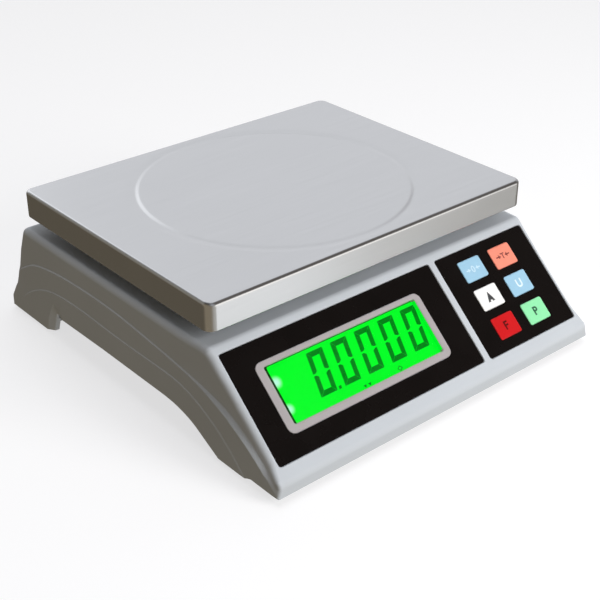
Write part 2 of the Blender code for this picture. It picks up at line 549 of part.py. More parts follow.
for i, x in enumerate((-58.0, -42.0)):
    hole = cylinder((x, PAN_Y, 0), "Z", 3.3, 20.0, 50.0, f"lower_bolt_hole_{i}", cutter=True, seg=12)
    cut(plate, hole)
    cut(spacer, hole)
    bolt = cylinder((x, PAN_Y, 0), "Z", 3.0, 26.0, 50.0, f"cell_screw_lower_{i + 1}", ZINC, origin=(x, PAN_Y, 27.0), seg=12)
    join(bolt, cylinder((x, PAN_Y, 0), "Z", 5.4, 22.6, 27.0, f"lower_head_{i}", cutter=True, seg=12))
    cut(bolt, cylinder((x, PAN_Y, 0), "Z", 2.9, 20.0, 25.0, f"lower_socket_{i}", cutter=True, seg=6))
for i, x in enumerate((42.0, 58.0)):
    hole = cylinder((x, PAN_Y, 0), "Z", 3.3, 55.0, 95.0, f"upper_bolt_hole_{i}", cutter=True, seg=12)
    cut(column, hole)
    cut(hub, hole)
    bolt = cylinder((x, PAN_Y, 0), "Z", 3.0, 48.0, 92.5, f"cell_screw_upper_{i + 1}", ZINC, origin=(x, PAN_Y, 91.6), seg=12)
    join(bolt, cylinder((x, PAN_Y, 0), "Z", 5.4, 91.6, 96.0, f"upper_head_{i}", cutter=True, seg=12))
    cut(bolt, cylinder((x, PAN_Y, 0), "Z", 2.9, 93.5, 99.0, f"upper_socket_{i}", cutter=True, seg=6))
cut(plate, cylinder((50.0, PAN_Y, 0), "Z", 2.8, 20.0, 40.0, "stop_hole", cutter=True, seg=12))
stop = cylinder((50.0, PAN_Y, 0), "Z", 2.5, 27.5, 37.1, "overload_stop_screw", ZINC, origin=(50.0, PAN_Y, 31.6), seg=12)
join(stop, cylinder((50.0, PAN_Y, 0), "Z", 4.6, 31.6, 34.4, "stop_nut", cutter=True, seg=6))

for name, sx, sy in (("fl", -1, -1), ("fr", 1, -1), ("rl", -1, 1), ("rr", 1, 1)):
    x, y = sx * ARM_END[0], PAN_Y + sy * ARM_END[1]
    turned([(0, 111.7), (8.2, 111.7), (9.2, 110.6), (10.0, 103.5), (10.0, 98.3), (0, 98.3)], (x, y), f"pan_cushion_{name}", RUBBER, 16, origin=(x, y, 98.3))

# ------------------------------------------------------------------ weighing pan: folded sheet
x1, y0, y1 = PAN_W / 2, PAN_MID - PAN_D / 2, PAN_MID + PAN_D / 2
FOLD = 2.4
rings = []
for drop, back in ((0.0, FOLD), (FOLD * 0.293, FOLD * 0.293), (FOLD, 0.0), (PAN_RIM, 0.0)):
    rings.append([(x, y, PAN_TOP - drop) for x, y in rounded_rect(-x1 + back, y0 + back, x1 - back, y1 - back, PAN_R - back, 4)])
bm = bmesh.new()
loops = [[bm.verts.new(Vector(p) * MM) for p in ring] for ring in rings]
bm.faces.new(loops[0])
for a, b in zip(loops, loops[1:]):
    for i in range(len(a)):
        j = (i + 1) % len(a)
        bm.faces.new((a[i], b[i], b[j], a[j]))
bmesh.ops.recalc_face_normals(bm, faces=bm.faces)
if max(bm.faces, key=lambda f: f.calc_area()).normal.z < 0:
    bmesh.ops.reverse_faces(bm, faces=bm.faces)
sheet = bpy.data.meshes.new("weighing_pan")
bm.to_mesh(sheet)
bm.free()
pan = link(sheet, "weighing_pan", STEEL, origin=(0, PAN_Y, 111.7))
solid = pan.modifiers.new("sheet", "SOLIDIFY")
solid.thickness, solid.offset, solid.use_even_offset = PAN_T * MM, -1.0, True

# ------------------------------------------------------------------ levelling feet
for k, (x, y) in FEET.items():
    turned([(0, 4.2), (10.6, 4.2), (11.6, 3.4), (12.0, 1.0), (11.4, 0.0), (0, 0.0)], (x, y), f"foot_pad_{k}", RUBBER, 20, origin=(x, y, 4.2))
    turned([(0, 26.0), (3.4, 26.0), (4.0, 25.2), (4.0, 8.4), (9.8, 8.4), (10.4, 7.8), (10.4, 5.1), (9.8, 4.5), (0, 4.5)], (x, y), f"foot_screw_{k}", ZINC, 20, origin=(x, y, 8.4))

# ------------------------------------------------------------------ housing screws
for i, (x, y) in enumerate(SCREWS):
    front = y < -100
    z = (TRAY_LOW if front else TRAY_HIGH) - GAP
    screw = cylinder((x, y, 0), "Z", 1.6, z - 1.0, z + (10.6 if front else 16.0), f"housing_screw_{i + 1}", ZINC, origin=(x, y, z), seg=10)
    join(screw, cylinder((x, y, 0), "Z", 2.9, z - 2.6, z, f"screw_head_{i}", cutter=True, seg=14, r2=3.9))
    cut(screw, box((x - 2.2, y - 0.45, z - 4), (x + 2.2, y + 0.45, z - 1.6), f"screw_slot_a_{i}", cutter=True))
    cut(screw, box((x - 0.45, y - 2.2, z - 4), (x + 0.45, y + 2.2, z - 1.6), f"screw_slot_b_{i}", cutter=True))

# ------------------------------------------------------------------ battery, strap
pack = box(*BATTERY, "battery", BATT, bevel=1.5)
for i, x in enumerate((-128.0, -88.0)):
    join(pack, box((x - 2.4, BATTERY[0][1] - 6.0, 63.0), (x + 2.4, BATTERY[0][1] + 1.0, 63.8), f"terminal_{i}", cutter=True))
strap_outline = [(-35.0, 27.3), (-21.9, 27.3), (-21.9, 75.5), (82.9, 75.5), (82.9, 27.3), (96.0, 27.3), (96.0, 28.5), (84.1, 28.5), (84.1, 76.7), (-23.1, 76.7), (-23.1, 28.5), (-35.0, 28.5)]
prism(strap_outline, "X", -115.0, -101.0, "battery_strap", ZINC)

# ------------------------------------------------------------------ power switch and charging inlet
SW_Y, SW_Z, SW_X = 75.5, 53.5, 149.8
frame_sw = box((147.8, SW_Y - 10.5, SW_Z - 7.5), (SW_X, SW_Y + 10.5, SW_Z + 7.5), "power_switch_frame", DARK, bevel=0.5)
join(frame_sw, box((137.0, SW_Y - 9.2, SW_Z - 6.2), (148.2, SW_Y + 9.2, SW_Z + 6.2), "switch_body", cutter=True))
cut(frame_sw, box((140.0, SW_Y - 8.4, SW_Z - 5.4), (156.0, SW_Y + 8.4, SW_Z + 5.4), "switch_well", cutter=True))
PIVOT_X = 147.6
lean = math.radians(10.0)
profile = [(-7.6, 2.0), (-7.6, -0.5), (-5.0, -3.2), (0.0, -5.0), (5.0, -3.2), (7.6, -0.5), (7.6, 2.0), (0.0, 1.1)]
tilted = [(PIVOT_X + w * math.cos(lean) + u * math.sin(lean), SW_Y - w * math.sin(lean) + u * math.cos(lean)) for u, w in profile]
prism(tilted, "Z", SW_Z - 5.0, SW_Z + 5.0, "power_rocker", DARK, origin=(PIVOT_X, SW_Y, SW_Z), bevel=0.35, steps=1)

socket = cylinder((0, 42.0, 53.5), "X", 7.0, 147.8, 149.8, "dc_socket", DARK, origin=(147.8, 42.0, 53.5), seg=20)
join(socket, cylinder((0, 42.0, 53.5), "X", 5.5, 137.0, 148.2, "socket_body", cutter=True, seg=16))
cut(socket, cylinder((0, 42.0, 53.5), "X", 3.3, 139.0, 156.0, "socket_bore", cutter=True, seg=16))
join(socket, cylinder((0, 42.0, 53.5), "X", 1.05, 138.0, 148.6, "socket_pin", cutter=True, seg=8))

# ------------------------------------------------------------------ bubble level
turned([(0, 78.5), (6.5, 78.5), (6.5, 83.4), (13.0, 83.4), (13.0, 81.3), (10.1, 81.3), (10.1, 75.0), (0, 75.0)], (0.0, -62.0), "level_vial_cup", VIAL, 20, origin=(0, -62, 81.3))
turned([(0, 84.6), (3.0, 84.4), (5.4, 83.6), (6.2, 82.8), (6.2, 78.8), (0, 78.8)], (0.0, -62.0), "level_vial_lens", FLUID, 20, origin=(0, -62, 78.8))

# ------------------------------------------------------------------ leads inside the housing
def plug_in(x, v):
    """The last points of a lead, straight into a connector on the back of the main board."""
    return [panel_point(x, v, n) for n in (-33.0, -28.0, -24.6)]


tube(smooth_path([(-52.0, 4.6, 46.0), (-52.0, 0.0, 46.0), (-52.0, -8.0, 46.0), (-51.0, -34.0, 42.0), (-50.0, -66.0, 34.0)] + plug_in(-50.0, 31.0), 3), 1.8, "load_cell_cable", CABLE)
tube(smooth_path([(-88.0, -26.5, 63.4), (-88.0, -30.0, 63.4), (-88.0, -36.0, 62.0), (-89.0, -50.0, 52.0), (-90.0, -70.0, 36.0)] + plug_in(-90.0, 31.0), 3), 1.5, "battery_lead", CABLE)
tube(smooth_path([(136.6, 78.0, 53.5), (134.0, 78.0, 53.5), (128.0, 77.0, 53.0), (116.0, 62.0, 50.0), (106.0, 20.0, 47.0), (96.0, -25.0, 44.0), (60.0, -62.0, 35.0)] + plug_in(31.0, 31.0), 3), 1.5, "power_lead", CABLE)
tube(smooth_path([(136.6, 42.0, 53.5), (134.0, 42.0, 53.5), (129.5, 45.0, 53.5), (127.5, 56.5, 53.5), (129.5, 68.0, 53.5), (134.0, 71.0, 53.5), (136.6, 71.0, 53.5)], 3), 1.2, "socket_lead", CABLE)

# ------------------------------------------------------------------ round pieces shaded smooth
for o in PARTS.objects:
    if o.type == "MESH":
        o.data.shade_smooth()
        o.data.set_sharp_from_angle(angle=math.radians(35))
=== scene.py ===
"""Bench weighing scale: the looks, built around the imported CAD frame. All lengths below are millimetres in the row frame unless said."""

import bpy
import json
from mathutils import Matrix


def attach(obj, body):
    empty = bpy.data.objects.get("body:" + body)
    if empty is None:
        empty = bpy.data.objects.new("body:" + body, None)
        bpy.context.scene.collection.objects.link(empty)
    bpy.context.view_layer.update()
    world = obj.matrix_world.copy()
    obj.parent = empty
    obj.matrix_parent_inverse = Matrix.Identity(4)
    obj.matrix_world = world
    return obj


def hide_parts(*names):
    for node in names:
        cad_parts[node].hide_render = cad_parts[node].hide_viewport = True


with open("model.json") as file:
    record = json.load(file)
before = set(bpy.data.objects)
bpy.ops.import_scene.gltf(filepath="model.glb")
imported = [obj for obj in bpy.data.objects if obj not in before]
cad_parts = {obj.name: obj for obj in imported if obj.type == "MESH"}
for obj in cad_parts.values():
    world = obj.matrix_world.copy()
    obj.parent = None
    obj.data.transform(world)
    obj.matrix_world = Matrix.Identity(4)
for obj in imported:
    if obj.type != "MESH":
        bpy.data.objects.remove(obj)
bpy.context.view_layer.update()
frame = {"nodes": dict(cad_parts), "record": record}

import bpy, bmesh, json, math
import numpy as np
from mathutils import Matrix, Vector
from mathutils.geometry import delaunay_2d_cdt

MM = 0.001
SLOPE = math.radians(41.7)
PANEL_Y, PANEL_Z = -98.5, 76.1
BODY = {n: b for b, ns in frame["record"]["behaviour"]["bodies"].items() for n in ns}
SCENE = bpy.context.scene
SCENE.view_settings.view_transform = "Standard"

# ------------------------------------------------------------------ camera
AZ, EL = math.radians(40.57), math.radians(29.58)
fwd = Vector((math.sin(AZ) * math.cos(EL), math.cos(AZ) * math.cos(EL), -math.sin(EL)))
right = Vector((math.cos(AZ), -math.sin(AZ), 0.0))
up = right.cross(fwd)
cam_data = bpy.data.cameras.new("camera")
cam_data.sensor_width = 36.0
cam_data.lens = 1218.42 / 600.0 * 36.0
cam = bpy.data.objects.new("camera", cam_data)
SCENE.collection.objects.link(cam)
cam.matrix_world = Matrix.Translation((-0.53583, -0.63376, 0.49242)) @ Matrix((right, up, -fwd)).transposed().to_4x4()
SCENE.camera = cam


# ------------------------------------------------------------------ materials
def finish(name, colour, rough=0.5, metal=0.0, spot=0.04, scale=60.0, stretch=(1, 1, 1), rough_var=0.06, grain=0.0, grain_scale=1500.0,
           fine=None, coat=0.0, spec=0.5, ior=1.5, emit=None, glow=0.0, trans=0.0, aniso=0.0, wear=None, sheen=0.0):
    """A procedural finish: colour and roughness vary with noise in object space, and grain (mm) is the depth of its fine bump."""
    m = bpy.data.materials.new(name)
    m.use_nodes = True
    m.diffuse_color = (*colour, 1)
    t = m.node_tree
    n, l = t.nodes, t.links
    b = n["Principled BSDF"]
    b.inputs["Metallic"].default_value = metal
    b.inputs["IOR"].default_value = ior
    b.inputs["Specular IOR Level"].default_value = spec
    b.inputs["Coat Weight"].default_value = coat
    b.inputs["Coat Roughness"].default_value = 0.08
    b.inputs["Transmission Weight"].default_value = trans
    b.inputs["Anisotropic"].default_value = aniso
    b.inputs["Sheen Weight"].default_value = sheen
    if emit:
        b.inputs["Emission Color"].default_value = (*emit, 1)
        b.inputs["Emission Strength"].default_value = glow
    tc = n.new("ShaderNodeTexCoord")
    mp = n.new("ShaderNodeMapping")
    mp.inputs["Scale"].default_value = stretch
    l.new(tc.outputs["Object"], mp.inputs["Vector"])
    nz = n.new("ShaderNodeTexNoise")
    nz.inputs["Scale"].default_value = scale
    nz.inputs["Detail"].default_value = 4.0
    l.new(mp.outputs["Vector"], nz.inputs["Vector"])
    ramp = n.new("ShaderNodeValToRGB")
    ramp.color_ramp.elements[0].position, ramp.color_ramp.elements[1].position = 0.3, 0.7
    ramp.color_ramp.elements[0].color = (*(min(1, c * (1 - spot)) for c in colour), 1)
    ramp.color_ramp.elements[1].color = (*(min(1, c * (1 + spot)) for c in colour), 1)
    l.new(nz.outputs["Fac"], ramp.inputs["Fac"])
    last = ramp.outputs["Color"]
    if fine:  # a second, finer noise over the first: (scale, amount, stretch)
        mp2 = n.new("ShaderNodeMapping")
        mp2.inputs["Scale"].default_value = fine[2]
        l.new(tc.outputs["Object"], mp2.inputs["Vector"])
        nf = n.new("ShaderNodeTexNoise")
        nf.inputs["Scale"].default_value = fine[0]
        nf.inputs["Detail"].default_value = 3.0
        l.new(mp2.outputs["Vector"], nf.inputs["Vector"])
        r2 = n.new("ShaderNodeValToRGB")
        r2.color_ramp.elements[0].position, r2.color_ramp.elements[1].position = 0.3, 0.7
        r2.color_ramp.elements[0].color = (1 - fine[1],) * 3 + (1,)
        r2.color_ramp.elements[1].color = (1, 1, 1, 1)
        l.new(nf.outputs["Fac"], r2.inputs["Fac"])
        mx = n.new("ShaderNodeMix")
        mx.data_type, mx.blend_type = "RGBA", "MULTIPLY"
        mx.inputs[0].default_value = 1.0
        l.new(last, mx.inputs[6])
        l.new(r2.outputs["Color"], mx.inputs[7])
        last = mx.outputs[2]
    if wear:  # edges rubbed paler: (colour, amount)
        g = n.new("ShaderNodeNewGeometry")
        mr = n.new("ShaderNodeMapRange")
        mr.inputs["From Min"].default_value, mr.inputs["From Max"].default_value = 0.52, 0.62
        mr.inputs["To Max"].default_value = wear[1]
        l.new(g.outputs["Pointiness"], mr.inputs["Value"])
        mx = n.new("ShaderNodeMix")
        mx.data_type = "RGBA"
        l.new(mr.outputs["Result"], mx.inputs[0])
        l.new(last, mx.inputs[6])
        mx.inputs[7].default_value = (*wear[0], 1)
        last = mx.outputs[2]
    l.new(last, b.inputs["Base Color"])
    rr = n.new("ShaderNodeMapRange")
    rr.inputs["From Min"].default_value, rr.inputs["From Max"].default_value = 0.3, 0.7
    rr.inputs["To Min"].default_value, rr.inputs["To Max"].default_value = max(0.0, rough - rough_var), min(1.0, rough + rough_var)
    l.new(nz.outputs["Fac"], rr.inputs["Value"])
    l.new(rr.outputs["Result"], b.inputs["Roughness"])
    if grain:
        gz = n.new("ShaderNodeTexNoise")
        gz.inputs["Scale"].default_value = grain_scale
        gz.inputs["Detail"].default_value = 2.0
        l.new(mp.outputs["Vector"], gz.inputs["Vector"])
        bp = n.new("ShaderNodeBump")
        bp.inputs["Strength"].default_value = 1.0
        bp.inputs["Distance"].default_value = grain * MM
        l.new(gz.outputs["Fac"], bp.inputs["Height"])
        l.new(bp.outputs["Normal"], b.inputs["Normal"])
    return m


GREY = finish("housing_plastic", (0.575, 0.61, 0.655), 0.42, spot=0.02, scale=18, grain=0.012, grain_scale=2600, rough_var=0.05, spec=0.45)
BASE = finish("base_plastic", (0.32, 0.335, 0.36), 0.6, spot=0.04, scale=25, grain=0.03, grain_scale=1700)
STEEL = finish("stainless_sheet", (0.72, 0.725, 0.735), 0.25, 1.0, spot=0.012, scale=30, stretch=(0.3, 1, 1), rough_var=0.02,
               fine=(900, 0.035, (0.02, 1, 1)))
FILM = finish("panel_film", (0.0055, 0.0040, 0.0037), 0.27, spot=0.12, scale=40, grain=0.003, grain_scale=3000, spec=0.25, rough_var=0.03)
FRAME = finish("window_frame", (0.43, 0.40, 0.41), 0.4, spot=0.02, scale=60, grain=0.008, grain_scale=2400)
GLASS = finish("window_clear", (0.98, 1.0, 0.98), 0.03, spot=0.0, rough_var=0.01, trans=1.0, ior=1.08, spec=0.3)
BOARD = finish("circuit_board", (0.015, 0.12, 0.045), 0.4, spot=0.25, scale=350, coat=0.3)
ALU = finish("machined_aluminium", (0.66, 0.67, 0.68), 0.33, 1.0, spot=0.03, scale=40, fine=(700, 0.12, (0.05, 1, 1)))
CAST = finish("cast_aluminium", (0.50, 0.51, 0.52), 0.55, 1.0, spot=0.08, scale=120, grain=0.06, grain_scale=900)
ZINC = finish("zinc_steel", (0.62, 0.62, 0.60), 0.30, 1.0, spot=0.10, scale=220, rough_var=0.1)
RUBBER = finish("rubber", (0.022, 0.022, 0.023), 0.8, spot=0.2, scale=200, grain=0.03, grain_scale=1400)
DARK = finish("dark_plastic", (0.018, 0.018, 0.019), 0.42, spot=0.1, scale=80, grain=0.02, grain_scale=2000)
BATT = finish("battery_case", (0.05, 0.052, 0.058), 0.5, spot=0.08, scale=60, grain=0.03, grain_scale=1500)
CABLE = finish("cable_sleeve", (0.03, 0.03, 0.032), 0.5, spot=0.1, scale=200, grain=0.01, grain_scale=2000)
RIBBON = finish("ribbon", (0.55, 0.45, 0.25), 0.35, spot=0.03, scale=60, fine=(900, 0.35, (1, 0.02, 0.02)))
VIAL = finish("vial_plastic", (0.70, 0.70, 0.66), 0.3, spot=0.03, scale=90)
LIQUID = finish("vial_liquid", (0.55, 0.85, 0.12), 0.05, spot=0.03, scale=60, trans=0.6, ior=1.35, rough_var=0.01)
BRIGHT = finish("polished_pin", (0.8, 0.78, 0.7), 0.18, 1.0, spot=0.05, scale=300)


def lcd_material(name, colour, glow, spots):
    """The lit cell: an even glow that turns pale at the two lamps on its left edge."""
    m = finish(name, (0.0, 0.02, 0.002), 0.25, spot=0.03, scale=25, rough_var=0.02, spec=0.1)
    t = m.node_tree
    n, l = t.nodes, t.links
    b = n["Principled BSDF"]
    tc = next(x for x in n if x.type == "TEX_COORD")
    last = None
    for p, r, strength in spots:
        d = n.new("ShaderNodeVectorMath")
        d.operation = "DISTANCE"
        d.inputs[1].default_value = p
        l.new(tc.outputs["Object"], d.inputs[0])
        mr = n.new("ShaderNodeMapRange")
        mr.interpolation_type = "SMOOTHERSTEP"
        mr.inputs["From Min"].default_value, mr.inputs["From Max"].default_value = 0.0, r * MM
        mr.inputs["To Min"].default_value, mr.inputs["To Max"].default_value = strength, 0.0
        l.new(d.outputs["Value"], mr.inputs["Value"])
        if last is None:
            last = mr.outputs["Result"]
        else:
            mxx = n.new("ShaderNodeMath")
            mxx.operation = "MAXIMUM"
            l.new(last, mxx.inputs[0])
            l.new(mr.outputs["Result"], mxx.inputs[1])
            last = mxx.outputs["Value"]
    nz = next(x for x in n if x.type == "TEX_NOISE")
    rp = n.new("ShaderNodeValToRGB")
    rp.color_ramp.elements[0].color = (*(c * 0.94 for c in colour), 1)
    rp.color_ramp.elements[1].color = (*colour, 1)
    l.new(nz.outputs["Fac"], rp.inputs["Fac"])
    mx = n.new("ShaderNodeMix")
    mx.data_type = "RGBA"
    l.new(last, mx.inputs[0])
    l.new(rp.outputs["Color"], mx.inputs[6])
    mx.inputs[7].default_value = (0.62, 1.0, 0.90, 1)
    l.new(mx.outputs[2], b.inputs["Emission Color"])
    b.inputs["Emission Strength"].default_value = glow
    return m


# ------------------------------------------------------------------ mesh helpers
def panel_matrix():
    c, s = math.cos(SLOPE), math.sin(SLOPE)
    return Matrix(((1, 0, 0, 0), (0, c, -s, PANEL_Y), (0, s, c, PANEL_Z), (0, 0, 0, 1)))


P_FRAME = panel_matrix()


def on_panel(x, v, n):
    return P_FRAME @ Vector((x, -v, n))


def arc(cx, cy, r, a0, a1, n):
    return [(cx + r * math.cos(a0 + (a1 - a0) * i / n), cy + r * math.sin(a0 + (a1 - a0) * i / n)) for i in range(n + 1)]


def rounded(x0, y0, x1, y1, r, n=6):
    q, out = math.pi / 2, []
    for cx, cy, a in ((x1 - r, y1 - r, 0), (x0 + r, y1 - r, q), (x0 + r, y0 + r, 2 * q), (x1 - r, y0 + r, 3 * q)):
        out += arc(cx, cy, r, a, a + q, n)
    return out


def panel_ring(x0, v0, x1, v1, r, grow, n, k=6):
    """A rounded rectangle of the console at height n, grown outward by grow."""
    return [on_panel(x, -y, n) for x, y in rounded(x0 - grow, -v1 - grow, x1 + grow, -v0 + grow, max(r + grow, 0.05), k)]


def fillet(points):
    out, n = [], len(points)
    for i, (y, z, r, k) in enumerate(points):
        p = Vector((y, z))
        if r <= 0:
            out.append((y, z))
            continue
        a = (Vector(points[i - 1][:2]) - p).normalized()
        b = (Vector(points[(i + 1) % n][:2]) - p).normalized()
        half = a.angle(b) / 2
        t = r / math.tan(half)
        centre = p + (a + b).normalized() * (r / math.sin(half))
        s, e = p + a * t - centre, p + b * t - centre
        turn = s.angle_signed(e)
        for j in range(k + 1):
            f = -turn * j / k
            out.append((centre.x + s.x * math.cos(f) - s.y * math.sin(f), centre.y + s.x * math.sin(f) + s.y * math.cos(f)))
    return out


def smooth_path(points, per=4):
    pts = [Vector(p) for p in points]
    out = []
    for i in range(len(pts) - 1):
        a, b, c, d = pts[max(i - 1, 0)], pts[i], pts[i + 1], pts[min(i + 2, len(pts) - 1)]
        for j in range(per):
            t = j / per
            out.append(0.5 * ((2 * b) + (c - a) * t + (2 * a - 5 * b + 4 * c - d) * t * t + (3 * b - a - 3 * c + d) * t ** 3))
    out.append(pts[-1])
    return [tuple(p) for p in out]


def resample(points, step, closed=False):
    """Points at most step apart along a polyline, keeping its own points."""
    out, n = [], len(points)
    for i in range(n if closed else n - 1):
        a, b = Vector(points[i]), Vector(points[(i + 1) % n])
        k = max(1, math.ceil((b - a).length / step - 1e-6))
        out += [tuple(a.lerp(b, j / k)) for j in range(k)]
    if not closed:
        out.append(tuple(points[-1]))
    return out


def mesh_of(bm, name):
    bmesh.ops.remove_doubles(bm, verts=bm.verts, dist=1e-7)
    bmesh.ops.recalc_face_normals(bm, faces=bm.faces)
    mesh = bpy.data.meshes.new(name)
    bm.to_mesh(mesh)
    bm.free()
    return mesh


def loft(rings, name, close=True, ends=True):
    """Rings of equal length (mm) joined into one closed body, with caps on both ends or the last joined to the first."""
    bm = bmesh.new()
    loops = [[bm.verts.new(Vector(p) * MM) for p in ring] for ring in rings]
    pairs = list(zip(loops, loops[1:])) + ([] if ends else [(loops[-1], loops[0])])
    for a, b in pairs:
        for i in range(len(a)):
            j = (i + 1) % len(a)
            bm.faces.new((a[i], b[i], b[j], a[j]))
    if ends:
        bm.faces.new(loops[0])
        bm.faces.new(loops[-1])
    return mesh_of(bm, name)


def turned(profile, centre, name, seg=48, axis="Z"):
    """A turned body: profile of (radius, height) from one end on the axis to the other, or a closed ring profile off the axis."""
    rings = []
    on_axis = profile[0][0] == 0
    bm = bmesh.new()
    place = {"Z": lambda r, a, h: Vector((centre[0] + r * math.cos(a), centre[1] + r * math.sin(a), h)),
             "X": lambda r, a, h: Vector((h, centre[1] + r * math.cos(a), centre[2] + r * math.sin(a)))}[axis]
    for r, h in profile:
        rings.append([bm.verts.new(place(r, 2 * math.pi * i / seg, h) * MM) for i in range(seg if r > 0 else 1)])
    pairs = list(zip(rings, rings[1:])) + ([] if on_axis else [(rings[-1], rings[0])])
    for a, b in pairs:
        for i in range(seg):
            j = (i + 1) % seg
            if len(a) == 1 and len(b) == 1:
                continue
            if len(a) == 1:
                bm.faces.new((a[0], b[i], b[j]))
            elif len(b) == 1:
                bm.faces.new((a[i], b[0], a[j]))
            else:
                bm.faces.new((a[i], b[i], b[j], a[j]))
    return mesh_of(bm, name)


def piece(mesh, name, mat, stands_for=(), body=None, angle=32, weighted=True, extra=()):
    """The mesh (metres, row frame) becomes a named piece that rides on its body."""
    o = bpy.data.objects.new(name, mesh)
    SCENE.collection.objects.link(o)
    mesh.materials.clear()
    for m in (mat, *extra):
        mesh.materials.append(m)
    mesh.shade_smooth()
    mesh.set_sharp_from_angle(angle=math.radians(angle))
    if weighted:
        w = o.modifiers.new("even_normals", "WEIGHTED_NORMAL")
        w.keep_sharp, w.weight = True, 60
    stands_for = [stands_for] if isinstance(stands_for, str) else list(stands_for)
    if stands_for:
        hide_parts(*stands_for)
    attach(o, body or BODY[stands_for[0]])
    return o


def refined(node, name, mat, width=0.4, steps=2, angle=40):
    """The CAD node's own shape as a new piece, with its sharp edges rounded."""
    src = frame["nodes"][node].data
    bm = bmesh.new()
    bm.from_mesh(src)
    bmesh.ops.remove_doubles(bm, verts=bm.verts, dist=2e-6)
    bmesh.ops.dissolve_limit(bm, angle_limit=math.radians(0.6), verts=bm.verts, edges=bm.edges)
    if width:
        sharp = [e for e in bm.edges if len(e.link_faces) == 2 and e.calc_face_angle(0) > math.radians(angle) and e.calc_length() > 2e-5]
        bmesh.ops.bevel(bm, geom=sharp, offset=width * MM, segments=steps, profile=0.5, affect="EDGES", clamp_overlap=True)
    bmesh.ops.triangulate(bm, faces=[f for f in bm.faces if len(f.verts) > 4])
    return piece(mesh_of(bm, name), name, mat, node)


def apply_all(target):
    bpy.context.view_layer.update()
    done = bpy.data.meshes.new_from_object(target.evaluated_get(bpy.context.evaluated_depsgraph_get()))
    target.modifiers.clear()
    bm = bmesh.new()
    bm.from_mesh(done)
    bmesh.ops.remove_doubles(bm, verts=bm.verts, dist=1e-6)
    bmesh.ops.dissolve_degenerate(bm, edges=bm.edges, dist=1e-6)
    bm.to_mesh(done)
    bm.free()
    target.data = done


def carve(target, tools, how="DIFFERENCE"):
    """Joins the closed meshes of tools into one and cuts it from target or adds it."""
    bm = bmesh.new()
    for t in tools:
        bm.from_mesh(t)
    tool_mesh = mesh_of(bm, "tool")
    tool = bpy.data.objects.new("tool", tool_mesh)
    SCENE.collection.objects.link(tool)
    m = target.modifiers.new("carve", "BOOLEAN")
    m.object, m.operation, m.solver = tool, how, "EXACT"
    apply_all(target)
    bpy.data.objects.remove(tool)


def prism(outline, plane, lo, hi, name):
    """A flat outline made thick: plane X takes (y, z), plane Z takes (x, y), plane P takes (x, v)."""
    put = {"X": lambda p, h: Vector((h, p[0], p[1])), "Z": lambda p, h: Vector((p[0], p[1], h)), "P": lambda p, h: on_panel(p[0], p[1], h)}[plane]
    return loft([[put(p, lo) for p in outline], [put(p, hi) for p in outline]], name)


def block(lo, hi, name):
    return prism([(lo[0], lo[1]), (hi[0], lo[1]), (hi[0], hi[1]), (lo[0], hi[1])], "Z", lo[2], hi[2], name)


def rod(centre, r, lo, hi, name, seg=24, axis="Z", r2=None):
    return turned([(0, lo), (r, lo), (r if r2 is None else r2, hi), (0, hi)], centre, name, seg, axis)


def fill_flat(loops, free, keep):
    """Triangulates a flat region: closed loops and open lines as constraints, free points between, and keep(x, y) says which triangles stay."""
    pts, edges = [], []
    for points, closed in loops:
        s = len(pts)
        pts += [Vector(p[:2]) for p in points]
        edges += [(s + i, s + i + 1) for i in range(len(points) - 1)]
        if closed:
            edges.append((s + len(points) - 1, s))
    pts += [Vector(p[:2]) for p in free]
    v, _, f, ov, _, _ = delaunay_2d_cdt(pts, edges, [], 0, 1e-5)
    v = [tuple(p) for p in v]
    faces = []
    for tri in f:
        cx, cy = sum(v[i][0] for i in tri) / 3, sum(v[i][1] for i in tri) / 3
        if keep(cx, cy):
            faces.append(tuple(tri))
    return v, faces


def inside(points, poly):
    """Even-odd test of many points against a closed polygon."""
    pts, poly = np.asarray(points, float).reshape(-1, 2), np.asarray(poly, float)
    hit = np.zeros(len(pts), bool)
    a, b = poly, np.roll(poly, -1, 0)
    for (x0, y0), (x1, y1) in zip(a, b):
        if y0 == y1:
            continue
        c = (pts[:, 1] < y0) != (pts[:, 1] < y1)
        hit ^= c & (pts[:, 0] < (x1 - x0) * (pts[:, 1] - y0) / (y1 - y0) + x0)
    return hit


def distance_to(points, line, closed=False):
    """(distance, side) of many points to a polyline. Side is +1 to the left of its direction."""
    pts, line = np.asarray(points, float).reshape(-1, 2), np.asarray(line, float)
    a = line if closed else line[:-1]
    b = np.roll(line, -1, 0) if closed else line[1:]
    best, side = np.full(len(pts), 1e9), np.zeros(len(pts))
    for p, q in zip(a, b):
        d = q - p
        t = np.clip(((pts - p) @ d) / max(d @ d, 1e-12), 0, 1)
        off = pts - (p + t[:, None] * d)
        dist = np.hypot(off[:, 0], off[:, 1])
        s = np.sign(d[0] * (pts[:, 1] - p[1]) - d[1] * (pts[:, 0] - p[0]))
        near = dist < best - 1e-9
        best[near], side[near] = dist[near], s[near]
    return best, side


def step01(x, a, b):
    t = np.clip((x - a) / (b - a), 0, 1)
    return t * t * (3 - 2 * t)


